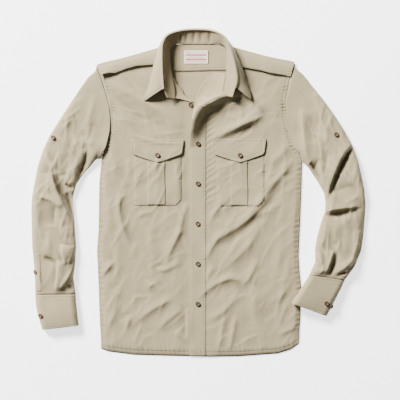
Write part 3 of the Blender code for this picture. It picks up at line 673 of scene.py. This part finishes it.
def lay_pocket(side, pocket):
    left = side == "left"
    u, v = grid_shares(50, 66)
    rise = v * (pocket.top - pocket.bottom)
    cut = POCKET_CORNER * np.clip(1 - rise / POCKET_CORNER, 0, 1)
    x = mix(pocket.x0 + cut * (0.5 if left else 0), pocket.x1 - cut, u)
    y = mix(pocket.bottom, pocket.top, v)
    spots = over_front(x, y, left, LAYER)
    inset = np.minimum(np.minimum(x - pocket.x0, pocket.x1 - x), y - pocket.bottom)
    spots[..., 2] += 0.4 * smooth(inset / 12) + pucker(inset - 3, y + 0.6 * x, 8, 8, 0.9, 61)
    bag = add_sheet("pocket_" + side, spots, LAYER_WALL, edge=inset, run=np.where(inset > 8, x, y))
    u, v = grid_shares(20, 60)
    x = mix(pocket.pleat0, pocket.pleat1, u) + 0.6 * np.sin(v * 9)
    y = mix(pocket.bottom + 2, pocket.top - 5, v)
    spots = over_front(x, y, left, 2 * LAYER)
    spots[..., 2] += 0.4 + 0.7 * np.sin(math.pi * u) ** 0.5 * smooth(v * 12)
    pleat = add_sheet("pocket_pleat_" + side, spots, LAYER_WALL, edge=np.full(u.shape, 30.0), run=y)
    u, v = grid_shares(64, 34)
    x = mix(pocket.flap0 + 4 * (1 - v) ** 2, pocket.flap1 - 4 * (1 - v) ** 2, u)
    aside = np.abs(x - pocket.tip_x) / np.where(x < pocket.tip_x, pocket.tip_x - pocket.flap0,
                                                pocket.flap1 - pocket.tip_x)
    low = mix(FLAP_TIP_Y, FLAP_CORNER_Y, np.clip(aside, 0, 1) ** 1.15)
    low = low + 14 * np.clip((aside - 0.86) / 0.14, 0, 1) ** 2
    y = mix(low, pocket.flap_top, v)
    spots = over_front(x, y, left, 3 * LAYER)
    held = np.exp(-(((x - pocket.tip_x) / 16) ** 2 + ((y - 96) / 16) ** 2))
    spots[..., 2] += 0.7 + (2.2 * (1 - v) ** 3 + 0.5 * ripple(x, y, 40, 66)) * (1 - held)
    spots[..., 2] += 0.8 * np.sin(math.pi * v)
    inset = np.minimum(np.minimum(y - low, pocket.flap_top - y),
                       np.minimum(x - pocket.flap0, pocket.flap1 - x))
    flap = add_sheet("pocket_flap_" + side, spots, LAYER_WALL, edge=inset, run=x)
    return bag, pleat, flap


pocket_cloth = cloth_material("pocket_cloth", stitches=(1.8,), depth=0.7)
flap_cloth = cloth_material("flap_cloth", stitches=(1.8, 7.5), depth=0.6)
for side, pocket in POCKETS.items():
    bag, pleat, flap = lay_pocket(side, pocket)
    dress(bag, pocket_cloth, "cloth", "pocket_" + side)
    dress(pleat, pocket_cloth, "cloth", "pocket_pleat_" + side)
    dress(flap, flap_cloth, "cloth", "pocket_flap_" + side)

# Sleeves.
# Each sleeve is one piece closed by a felled seam, set into the armhole. It lies flat on the
# table with its top layer in deep creases at the elbow, and pleats into the cuff.
Section = namedtuple("Section", "outer_x outer_y inner_x inner_y height lean")
RIGHT_SLEEVE = [
    Section(-256, 321, -244, 88, 15, 0), Section(-295, 265, -254, 87, 16, 0),
    Section(-325, 220, -259, 83, 18, 0), Section(-351, 180, -265, 76, 18, 0),
    Section(-373, 145, -272, 67, 17, 0), Section(-389, 110, -281, 58, 17, 0),
    Section(-402, 70, -292, 45, 17, 0), Section(-410, 30, -305, 25, 17, 0),
    Section(-417, -10, -315, -9, 17, 0), Section(-418, -50, -312, -48, 17, 0),
    Section(-417, -90, -309, -88, 17, 0), Section(-416, -130, -306, -130, 18, 0),
    Section(-412, -170, -308, -170, 18, 0), Section(-409, -210, -313, -210, 19, 0),
    Section(-408, -250, -307, -249, 20, 0),
]
LEFT_SLEEVE = [
    Section(240, 325, 259, 79, 15, 0), Section(277, 275, 264, 76, 16, 0),
    Section(310, 235, 270, 69, 18, 0), Section(340, 193, 277, 59, 18, 0),
    Section(364, 155, 286, 45, 17, 0), Section(383, 120, 296, 30, 17, 0),
    Section(397, 83, 305, 15, 17, 0), Section(406, 45, 312, 1, 17, 0),
    Section(413, 10, 315, -20, 17, 0), Section(416, -27, 314, -43, 17, 0),
    Section(413, -67, 305, -68, 17, 0), Section(410, -105, 294, -107, 17, 0),
    Section(405, -140, 289, -135, 18, 2), Section(389, -180, 289, -168, 19, 6),
    Section(364, -214, 274, -201, 20, 9),
]
SLEEVE_FOLDS = {
    "right": [
        Fold(-382, 114, -366, 72, -318, 18, 6, 10, 6),
        Fold(-362, 140, -334, 128, -318, 96, 5, 8, 3), Fold(-366, 54, -352, 6, -314, -66, 3, 24, 9),
        Fold(-354, 50, -338, 6, -314, -36, 10, 8, -9),
        Fold(-330, 4, -318, -30, -312, -66, 7, 7, -12),
        Fold(-402, -8, -372, -14, -342, -36, 12, 4, 6),
        Fold(-357, -28, -361, -55, -361, -80, 4, 24, -5),
        Fold(-386, -158, -370, -164, -354, -171, 5, 4, -5),
        Fold(-350, -164, -351, -205, -356, -250, 22, 4, 10),
        Fold(-338, -124, -338, -146, -330, -176, 26, 5, 10),
        Fold(-312, -190, -330, -216, -352, -246, 6, 8, 5),
        Fold(-324, -224, -318, -234, -306, -240, 6, 6, -5),
        Fold(-406, -166, -396, -210, -384, -252, 9, 5, 3.5),
        Fold(-268, 170, -280, 110, -294, 60, 14, 7, 7),
        Fold(-276, 126, -286, 76, -305, 28, 12, 8, -12),
        Fold(-264, 176, -276, 130, -284, 108, 6, 6, -4),
        Fold(-332, 24, -322, 18, -312, 12, 6, 6, -6), Fold(-346, 40, -336, 48, -326, 52, 5, 5, -3),
        Fold(-292, 112, -306, 70, -320, 34, 12, 10, 4),
        Fold(-336, 236, -352, 176, -386, 124, 16, 14, 3),
        Fold(-258, 250, -270, 200, -284, 150, 12, 10, 3),
        Fold(-344, -60, -336, -90, -318, -104, 6, 9, 3.5),
        Fold(-404, 40, -404, -40, -406, -130, 9, 12, 3),
        Fold(-372, -90, -376, -130, -380, -156, 12, 12, 3),
        Fold(-326, 150, -340, 100, -346, 60, 12, 14, 3),
    ],
    "left": [
        Fold(382, 126, 346, 76, 315, -16, 5, 24, 10), Fold(386, 116, 356, 72, 322, -14, 8, 6, -9),
        Fold(398, 108, 390, 60, 380, 20, 12, 8, 4), Fold(308, -44, 346, -38, 404, -30, 20, 3, 8),
        Fold(312, -50, 344, -52, 396, -40, 6, 8, -6), Fold(276, 78, 290, 58, 304, 22, 7, 8, -10),
        Fold(296, 92, 304, 60, 310, 24, 7, 8, 4), Fold(318, 110, 316, 80, 308, 44, 5, 7, -3),
        Fold(336, 6, 350, 12, 384, 22, 8, 10, -3), Fold(414, -44, 404, -120, 376, -190, 14, 12, -8),
        Fold(314, -70, 310, -112, 292, -134, 9, 10, 4),
        Fold(286, -138, 300, -160, 310, -184, 7, 5, 5),
        Fold(310, -186, 298, -198, 282, -214, 4, 9, 6),
        Fold(334, -138, 322, -176, 304, -220, 4, 13, 8),
        Fold(344, -142, 334, -178, 316, -216, 6, 6, -6),
        Fold(338, -124, 346, -146, 352, -166, 9, 6, 3),
        Fold(386, -156, 364, -180, 330, -204, 5, 12, 6),
        Fold(388, -170, 366, -194, 336, -208, 8, 6, -6),
        Fold(258, 214, 260, 150, 270, 84, 12, 9, 6), Fold(300, 90, 292, 72, 286, 58, 9, 7, -6),
        Fold(284, 250, 302, 242, 324, 230, 10, 9, 3.5),
        Fold(276, 200, 282, 160, 290, 130, 14, 14, -3),
        Fold(300, 180, 320, 140, 330, 100, 14, 14, 3), Fold(396, -4, 384, -12, 360, -24, 7, 9, 3),
        Fold(346, -66, 340, -96, 342, -120, 10, 12, 3), Fold(404, 70, 408, 20, 408, -26, 8, 9, 3),
        Fold(396, -90, 392, -130, 370, -188, 16, 8, 7),
    ],
}
SLEEVE_FOLDS["right"] += small_creases(9, 90, (-400, -240), (-280, 260), 75, 1.5)
SLEEVE_FOLDS["left"] += small_creases(10, 90, (280, -200), (400, 260), 105, 1.5)
ARMHOLE_BULGE = 7.0
SLEEVE_HEAD = 8.0
SLEEVE_FOLD_DEPTH = 1.1
SLEEVE_START = 4.5
ARMHOLE_GAP = 0.9
ARMHOLE_REACH = 0.3
TUBE_MIDDLE = 0.42
TUBE_TOP_ROLL = 0.16
TUBE_UNDER_ROLL = 0.06


def section_at(sections, along):
    """Values of every column of a sleeve table at these shares of its length."""
    place = np.linspace(0, 1, len(sections))
    return Section(*(np.interp(along, place, column) for column in zip(*sections)))


def tube_spots(sections, creases, along, across, armhole=None):
    """Spots round a flattened tube. Across runs 0 to 1 over the top, 1 to 2 back below."""
    section = section_at(sections, along)
    under = across > 1
    side = np.where(under, 2 - across, across)
    x = mix(section.outer_x, section.inner_x, side)
    y = mix(section.outer_y, section.inner_y, side)
    inset = np.minimum(side, 1 - side)
    middle = section.height * TUBE_MIDDLE
    rise = np.sqrt(1 - (1 - np.clip(inset / TUBE_TOP_ROLL, 0, 1)) ** 2)
    fall = np.sqrt(1 - (1 - np.clip(inset / TUBE_UNDER_ROLL, 0, 1)) ** 2)
    fade = smooth((1 - along) / 0.04)
    if armhole is not None:
        start = section_at(sections, 0.0)
        hole_y = mix(start.outer_y, start.inner_y, side)
        outward = np.sign(section.outer_x)
        hole_x = read(armhole, "y", "x", hole_y) + outward * ARMHOLE_GAP
        bend = hole_x - mix(start.outer_x, start.inner_x, side)
        x = x + bend * (1 - smooth(along / ARMHOLE_REACH))
        lap = np.exp(-(((along - 0.018) / 0.014) ** 2)) * smooth((hole_y - 92) / 30)
        x = x - outward * ARMHOLE_BULGE * lap * ~under
        fade = fade * smooth((along - 0.015) / 0.06)
    level = section.height
    if armhole is not None:
        head = smooth((hole_y - 95) / 110) * (1 - smooth(along / ARMHOLE_REACH))
        level = mix(level, SLEEVE_HEAD, head)
    top = mix(np.minimum(middle, level), level, rise)
    waves = SLEEVE_FOLD_DEPTH * folds(creases, x, y) + 0.8 * ripple(x, y, 60, 71)
    top = top + waves * rise * fade
    if armhole is not None:
        top = mix(SLEEVE_START, top, np.sqrt(1 - (1 - np.clip(along / 0.02, 0, 1)) ** 2))
    z = np.where(under, middle * (1 - fall), top) + section.lean * side
    return join(x, y, z)


def sew_tube(name, sections, creases, rows, armhole=None, drop=0.0):
    upper = (1 - np.cos(np.linspace(0, math.pi, 61))) / 2
    upper = mix(upper, np.linspace(0, 1, 61), 0.6)
    ring = np.concatenate([upper, 1 + np.linspace(0, 1, 25)[1:]])
    along = mix(drop, 1, np.linspace(0, 1, rows + 1) ** (1.25 if armhole else 1))
    across, along = np.meshgrid(ring, along)
    spots = tube_spots(sections, creases, along, across, armhole)
    spots[:, -1] = spots[:, 0]
    length = np.hypot(sections[0].outer_x - sections[-1].outer_x,
                      sections[0].outer_y - sections[-1].outer_y)
    start = along * length
    end = (1 - along) * length
    return add_sheet(name, spots, closed=True, flip=sections[0].outer_x < 0,
                     edge=np.minimum(start, end), run=across * 110)


sleeve_cloth = cloth_material("sleeve_cloth", stitches=(1.5,))
sleeve_right = sew_tube("sleeve_right", RIGHT_SLEEVE, SLEEVE_FOLDS["right"], 210, RIGHT_SIDE)
sleeve_left = sew_tube("sleeve_left", LEFT_SLEEVE, SLEEVE_FOLDS["left"], 210, LEFT_SIDE)
for name, sleeve in (("sleeve_right", sleeve_right), ("sleeve_left", sleeve_left)):
    dress(sleeve, sleeve_cloth, "cloth", name)

# Sleeve slits.
# A narrow strip binds the slit above each cuff, and buttons once. It is folded from the
# sleeve's own cloth and topstitched down both sides.
Strip = namedtuple("Strip", "low high foot head")
STRIP_RUN = 90
STRIPS = {"right": Strip(0.02, 0.17, 0.985, 0.82), "left": Strip(0.04, 0.2, 0.985, 0.82)}


def lay_strip(side, sections, strip):
    u, v = grid_shares(14, 44)
    across = mix(strip.low, strip.high, u)
    along = mix(strip.foot, strip.head, v)
    spots = tube_spots(sections, SLEEVE_FOLDS[side], along, across)
    ahead = np.gradient(spots, axis=0)
    aside = np.gradient(spots, axis=1)
    out = np.cross(aside, ahead)
    out = out / np.linalg.norm(out, axis=2, keepdims=True)
    out = out * np.sign(out[..., 2:3].mean())
    width = np.linalg.norm(spots[:, -1] - spots[:, 0], axis=1).mean()
    inset = np.minimum(u, 1 - u) * width
    return add_sheet("sleeve_placket_" + side, spots + out * LAYER,
                     flip=sections[0].outer_x > 0, edge=inset, run=v * STRIP_RUN)


strip_cloth = cloth_material("strip_cloth", stitches=(1.8,), depth=0.6)
for side, sections in (("right", RIGHT_SLEEVE), ("left", LEFT_SLEEVE)):
    strip = lay_strip(side, sections, STRIPS[side])
    dress(strip, strip_cloth, "cloth", "sleeve_placket_" + side)

# Cuffs.
# Bands of doubled cloth, stiffer than the sleeve, sewn over its pleated end and buttoned.
# The left one is turned in and leans on the shirt's side.
RIGHT_CUFF = [
    Section(-408, -250, -307, -249, 20, 0), Section(-407, -275, -306, -271, 22, 0),
    Section(-402, -301, -303, -293, 23, 0), Section(-395, -323, -301, -313, 23, 0),
    Section(-391, -338, -299, -327, 22, 0),
]
LEFT_CUFF = [
    Section(364, -214, 274, -201, 20, 9), Section(353, -238, 262, -220, 22, 10),
    Section(341, -261, 251, -238, 23, 10), Section(329, -285, 239, -256, 23, 10),
    Section(318, -304, 229, -271, 22, 10),
]
CUFF_FOLDS = [Fold(-380, -262, -350, -290, -330, -330, 20, 16, 1.5)]
cuff_cloth = cloth_material("cuff_cloth", stitches=(1.8, 7.0), depth=0.6)
cuff_right = sew_tube("cuff_right", RIGHT_CUFF, CUFF_FOLDS, 36, drop=0.006)
cuff_left = sew_tube("cuff_left", LEFT_CUFF, [], 36, drop=0.006)
for name, cuff in (("cuff_right", cuff_right), ("cuff_left", cuff_left)):
    dress(cuff, cuff_cloth, "cloth", name)

# Collar.
# A stand of doubled cloth round the neck and the leaf that turns over it, down to two points.
# Both have a firm lining inside, so they keep their curve; the leaf is topstitched.
Station = namedtuple("Station", "seam_x seam_y seam_z roll_x roll_y roll_z edge_x edge_y edge_z")
COLLAR = [
    Station(-58, 237, 15.5, -79, 238, 27, -79, 238, 20),
    Station(-59.5, 260, 15.5, -86, 259, 32, -135, 231, 12),
    Station(-65, 288, 15.5, -88.5, 287, 35, -127, 266, 12.5),
    Station(-69, 314, 14.5, -90, 315, 37, -118, 299, 14),
    Station(-71, 340, 13, -90.5, 344, 37, -108, 337, 13),
    Station(-70, 362, 12, -88, 373, 34, -99, 367, 12),
    Station(-56, 373.5, 6, -75, 393, 26, -80, 376, 4),
    Station(-32, 373.5, 4.5, -42, 405, 16, -40, 377, 0.3),
    Station(-2, 373.5, 4.3, -5, 407.5, 14, -3, 377, 0.3),
    Station(28, 373.5, 4.5, 33, 404, 16, 32, 377, 0.3),
    Station(53, 373.5, 6, 59, 390, 26, 65, 376, 4),
    Station(67, 362, 12, 72, 371, 34, 82, 367, 12),
    Station(69, 340, 13, 81, 344, 37, 95, 341, 13),
    Station(68, 314, 14.5, 89, 313, 37, 108, 311, 14.5),
    Station(65, 286, 16.5, 93, 283, 35, 118, 275, 15),
    Station(61.5, 262, 19, 89, 262, 32, 128, 234, 15),
    Station(59.5, 245, 23, 82.5, 240, 31, 82.5, 240, 24),
]
COLLAR_LENGTH = 430
LEAF_LENGTH = 400
STAND_HEIGHT = 34
LEAF_ROLL = 0.22
CREASES = [(-46, 2.2), (-32, 1.8), (-13, 2.2), (4, 2.0), (26, 2.4)]


def collar_at(along):
    """Every column of the table at these shares of the way round, on a smooth curve."""
    table = np.array(COLLAR, float)
    place = np.clip(along, 0, 1) * (len(table) - 1)
    index = np.clip(place.astype(int), 0, len(table) - 2)
    part = (place - index)[..., None]
    rows = [table[np.clip(index + step, 0, len(table) - 1)] for step in (-1, 0, 1, 2)]
    pull = (rows[2] - rows[0]) / 2, (rows[3] - rows[1]) / 2
    spot = (rows[1] * (1 + 2 * part) * (1 - part) ** 2 + rows[2] * (3 - 2 * part) * part ** 2
            + pull[0] * part * (1 - part) ** 2 + pull[1] * (part - 1) * part ** 2)
    return Station(*np.moveaxis(spot, -1, 0))


def lay_stand():
    u, v = grid_shares(200, 16)
    station = collar_at(u)
    x = mix(station.seam_x, station.roll_x, v)
    y = mix(station.seam_y, station.roll_y, v)
    z = mix(station.seam_z, station.roll_z, v) - 1.5 * np.sin(math.pi * v)
    for place, depth in CREASES:
        z = z - depth * np.exp(-(((x - place) / 3.4) ** 2)) * np.sin(math.pi * v) * (y > 372)
    inset = np.minimum(v, 1 - v) * STAND_HEIGHT
    return add_sheet("collar_stand", join(x, y, z), edge=inset, run=u * COLLAR_LENGTH)


def lay_leaf():
    u, v = grid_shares(190, 30)
    first = 1 / (len(COLLAR) - 1)
    station = collar_at(mix(first, 1 - first, u))
    seam = np.stack([station.seam_x, station.seam_y], axis=2)
    roll = np.stack([station.roll_x, station.roll_y], axis=2)
    edge = np.stack([station.edge_x, station.edge_y], axis=2)
    outward = (roll - seam) / np.linalg.norm(roll - seam, axis=2, keepdims=True)
    turned = smooth(((roll - edge) * outward).sum(axis=2) / 20)
    turn = np.minimum(v / LEAF_ROLL, 1)
    share = np.clip((v - LEAF_ROLL) / 0.78, 0, 1)
    out = mix(-0.5, 4.2, np.sin(turn * math.pi / 2))
    up = mix(-2.4, 2.4, np.cos(turn * math.pi / 2)) - 4.5 * turned * smooth(turn * 2 - 1)
    spot = (roll + outward * out[..., None]) * (1 - share[..., None]) + edge * share[..., None]
    z = mix(station.roll_z + up, station.edge_z, share)
    z = z + 2.5 * np.sin(math.pi * share) * (1 - turned)
    length = np.linalg.norm(edge - roll, axis=2) + 4
    inset = np.minimum((1 - share) * length, np.minimum(u, 1 - u) * LEAF_LENGTH)
    spots = np.concatenate([spot, z[..., None]], axis=2)
    return add_sheet("collar", spots, wall=1.4, flip=True, edge=inset, run=u * LEAF_LENGTH)


collar_stand = lay_stand()
collar = lay_leaf()
dress(collar_stand, cloth_material("stand_cloth", INSIDE, (1.8,), 0.6), "cloth_inside",
      "collar_stand")
dress(collar, cloth_material("leaf_cloth", stitches=(5.5,), depth=0.5), "cloth", "collar")

# Neck turnback.
# At the open neck the right front's corner turns outwards and shows its inner face, and the
# left front's inner face shows beside its raised edge.
Turned = namedtuple("Turned", "roll_x roll_y roll_z edge_x edge_y edge_z")
RIGHT_TURN = [
    Turned(-62, 290, 12, -67, 290, 14.4), Turned(-56, 275, 9, -66, 268, 14.4),
    Turned(-48, 269, 6.5, -65, 255, 14.4), Turned(-42, 260, 6, -63, 245, 14.4),
    Turned(-37, 248, 7, -57, 238, 14.4), Turned(-29, 238, 8.5, -42, 236, 11),
    Turned(-14, 231, 8, -15, 228, 9),
]
LEFT_TURN = [
    Turned(67, 300, 15.5, 36, 304, 2.9), Turned(64, 282, 17, 22, 292, 2.9),
    Turned(61, 262, 19, 10, 278, 2.6), Turned(59.5, 245, 23, 2, 264, 2.4),
    Turned(41, 239, 24, -4, 252, 2.3), Turned(19, 227, 26, -8, 240, 2.6),
    Turned(0, 216, 25, -11, 226, 4), Turned(-9, 203, 24, -14, 210, 9),
    Turned(-15, 184, 22, -18, 188, 15),
]


def lay_turn(name, stations, ease, flip):
    u, v = grid_shares(50, 16)
    place = np.linspace(0, 1, len(stations))
    turned = Turned(*(np.interp(u, place, column) for column in zip(*stations)))
    x = mix(turned.roll_x, turned.edge_x, v)
    y = mix(turned.roll_y, turned.edge_y, v)
    z = mix(turned.edge_z, turned.roll_z, (1 - v) ** ease)
    z = z + 0.5 * ripple(x, y, 30, 91) * np.sin(math.pi * v)
    return add_sheet(name, join(x, y, z), wall=0.6, flip=flip,
                     edge=v * 20, run=u * 80)


turn_cloth = cloth_material("turn_cloth", INSIDE, (1.8,), 0.6)
for name, stations, ease, flip, front in (
        ("neck_turn_right", RIGHT_TURN, 1.0, True, "front_right"),
        ("neck_turn_left", LEFT_TURN, 1.5, False, "front_left")):
    piece = lay_turn(name, stations, ease, flip)
    dress(piece, turn_cloth, "cloth_inside")

# Buttons.
# Brown four-hole buttons, turned from a horn-like plastic with a raised rim, and sewn on with
# brown thread through the holes. The holes are near-black discs on the button's face: painted
# shade for the dark inside of each hole.
PROFILE = [(0, 1.7), (2.6, 1.75), (3.6, 2.3), (4.6, 2.9), (5.3, 2.75), (5.7, 2.1), (5.6, 1.2),
           (4.6, 0.2), (0, 0)]
BUTTON_LIGHT = (0.16, 0.095, 0.05, 1)
BUTTON_DARK = (0.045, 0.024, 0.013, 1)
FRONT_BUTTON_X = -3.0
FRONT_BUTTON_Y = 126
FRONT_BUTTON_STEP = 100
NECK_BUTTON = (-20.5, 223)
HOLE_PLACE = 0.00135
HOLE_RADIUS = 0.00062
THREAD_SIZE = (0.0006, 0.0024, 0.0005)
THREAD_PLACE = 0.00095
HOLE_PAINTED_SHADE_COLOUR = (0.01, 0.006, 0.004, 1)
SLEEVE_BUTTONS = [
    ("button_tab_right", "right", 0.28, 0.1), ("button_tab_left", "left", 0.257, 0.19),
    ("button_slit_right", "right", 0.9, 0.05), ("button_slit_left", "left", 0.94, 0.14),
    ("button_cuff_right", "right", 0.52, 0.09), ("button_cuff_left", "left", 0.66, 0.2),
    ("button_cuff_left_outer", "left", 0.7, 0.04),
]


def button_material():
    material, shader, start = plain_material("button_horn")
    swirl = start.place().noise(260.0, Detail=4.0, Distortion=1.6)
    rim = start.mark("rim")
    horn = ((swirl - 0.35) * 2.2).blend(BUTTON_DARK, BUTTON_LIGHT)
    (rim * 0.6).blend(horn, BUTTON_DARK).link(shader, "Base Color")
    (0.4 + swirl * 0.2).link(shader, "Roughness")
    shader.inputs["Specular IOR Level"].default_value = 0.3
    return material


def thread_material():
    material, shader, start = plain_material("button_thread")
    twist = start.place().noise(1500.0)
    twist.blend((0.23, 0.16, 0.09, 1), (0.36, 0.27, 0.17, 1)).link(shader, "Base Color")
    shader.inputs["Roughness"].default_value = 0.8
    return material


horn = button_material()
thread = thread_material()
# The holes' colour is painted shade: near black for the dark inside of a hole.
hole_shade, hole_shade_shader, _ = plain_material("button_hole_painted_shade")
hole_shade_shader.inputs["Base Color"].default_value = HOLE_PAINTED_SHADE_COLOUR


def sew_button(name, spot, normal):
    """One button on a spot of the cloth, with its four holes drawn as near-black discs of painted
    shade, and the thread through them.
    """
    shape = bmesh.new()
    corners = [shape.verts.new((x * MM, 0, z * MM)) for x, z in PROFILE]
    lines = [shape.edges.new(pair) for pair in zip(corners, corners[1:])]
    bmesh.ops.spin(shape, geom=corners + lines, axis=(0, 0, 1), cent=(0, 0, 0), steps=40,
                   angle=2 * math.pi)
    bmesh.ops.remove_doubles(shape, verts=shape.verts, dist=0.00003)
    bmesh.ops.recalc_face_normals(shape, faces=shape.faces)
    for turn in range(4):
        angle = math.pi / 4 + turn * math.pi / 2
        place = Vector((math.cos(angle) * HOLE_PLACE, math.sin(angle) * HOLE_PLACE, 0.00176))
        # Each hole is a flat disc on the button's face, given the near-black painted-shade material.
        made = bmesh.ops.create_circle(shape, cap_ends=True, radius=HOLE_RADIUS, segments=14)
        bmesh.ops.translate(shape, verts=made["verts"], vec=place)
        for face in {f for v in made["verts"] for f in v.link_faces}:
            face.material_index = 1
    for turn in (-1, 1):
        made = bmesh.ops.create_cube(shape, size=1)
        bmesh.ops.scale(shape, verts=made["verts"], vec=THREAD_SIZE)
        bmesh.ops.translate(shape, verts=made["verts"], vec=(turn * THREAD_PLACE, 0, 0.0019))
        for face in {f for v in made["verts"] for f in v.link_faces}:
            face.material_index = 2
    mesh = bpy.data.meshes.new(name + "_horn")
    shape.to_mesh(mesh)
    shape.free()
    rim = mesh.attributes.new("rim", "FLOAT", "POINT")
    rim.data.foreach_set("value", [
        float(smooth((v.co.xy.length * 1000 - 3.6) / 1.4)) for v in mesh.vertices])
    mesh.shade_smooth()
    mesh.set_sharp_from_angle(angle=math.radians(50))
    button = bpy.data.objects.new(name + "_horn", mesh)
    bpy.context.scene.collection.objects.link(button)
    button.location = Vector(spot) * MM
    button.rotation_mode = "QUATERNION"
    button.rotation_quaternion = Vector(normal).to_track_quat("Z", "Y")
    dress(button, horn, "button", name)
    mesh.materials.append(hole_shade)
    mesh.materials.append(thread)


def front_button(name, x, y, left, out):
    at_x, at_y = np.full((1, 1), float(x)), np.full((1, 1), float(y))
    low = over_front(at_x, at_y, left, 0.0)[0, 0]
    high = over_front(at_x, at_y, left, 1.0)[0, 0]
    normal = high - low
    sew_button(name, low + normal * out, normal)


def sleeve_button(name, sections, creases, along, across, out):
    def spot(a, b):
        return tube_spots(sections, creases, np.full((1, 1), a), np.full((1, 1), b))[0, 0]
    here = spot(along, across)
    normal = np.cross(spot(along + 0.01, across) - here, spot(along, across + 0.01) - here)
    normal = normal / np.linalg.norm(normal)
    normal = normal * np.sign(normal[2])
    sew_button(name, here + normal * out, normal)


for index in range(5):
    y = FRONT_BUTTON_Y - FRONT_BUTTON_STEP * index
    front_button(f"button_front_{index + 1}", FRONT_BUTTON_X, y, True, LAYER + 0.6)
front_button("button_neck", *NECK_BUTTON, False, 0.6)
for side, pocket in POCKETS.items():
    front_button("button_pocket_" + side, pocket.tip_x, FLAP_BUTTON_Y, side == "left", 3 * LAYER + 2.6)
for name, side, along, across in SLEEVE_BUTTONS:
    sections = RIGHT_SLEEVE if side == "right" else LEFT_SLEEVE
    creases = SLEEVE_FOLDS[side]
    if "cuff" in name:
        sections, creases = (RIGHT_CUFF if side == "right" else LEFT_CUFF), []
    sleeve_button(name, sections, creases, along, across, LAYER + 0.5 if "slit" in name else 0.6)

# Table, light and camera.
# The shirt lies on a plain pale table. A broad soft light stands at the upper left and a
# weaker one fills from the right; the camera looks straight down.
bpy.ops.mesh.primitive_plane_add(size=6, location=(0, 0, -0.0003))
floor = bpy.context.object
floor.name = "floor"
paper, paper_shader, surface = plain_material("table_white")
grain = surface.place().noise(3.0, Detail=3.0)
grain.blend((0.93, 0.935, 0.945, 1), (0.95, 0.95, 0.955, 1)).link(paper_shader, "Base Color")
paper_shader.inputs["Roughness"].default_value = 0.95
paper_shader.inputs["Emission Color"].default_value = (0.95, 0.97, 1.0, 1)
paper_shader.inputs["Emission Strength"].default_value = 2.0
floor.data.materials.append(paper)


def add_lamp(name, place, size, power, colour):
    lamp = bpy.data.lights.new(name, "AREA")
    lamp.shape = "DISK"
    lamp.size = size
    lamp.energy = power
    lamp.color = colour
    holder = bpy.data.objects.new(name, lamp)
    bpy.context.scene.collection.objects.link(holder)
    holder.location = place
    holder.rotation_mode = "QUATERNION"
    holder.rotation_quaternion = (Vector(place)).to_track_quat("Z", "Y")


add_lamp("key_light", (-3.5, 3.8, 3.3), 2.0, 2150, (1.0, 0.985, 0.96))
add_lamp("fill_light", (1.2, -0.6, 2.9), 2.4, 5, (0.93, 0.96, 1.0))
world = bpy.data.worlds.new("studio")
world.use_nodes = True
world.node_tree.nodes["Background"].inputs["Color"].default_value = (0.94, 0.96, 1.0, 1)
world.node_tree.nodes["Background"].inputs["Strength"].default_value = 0.14
bpy.context.scene.world = world

camera_height = 2.8
sensor = 36
lens = bpy.data.cameras.new("camera")
lens.sensor_width = sensor
lens.lens = sensor * camera_height
camera = bpy.data.objects.new("camera", lens)
bpy.context.scene.collection.objects.link(camera)
camera.location = (0.0025, -0.015, camera_height)
bpy.context.scene.camera = camera

bpy.context.view_layer.update()
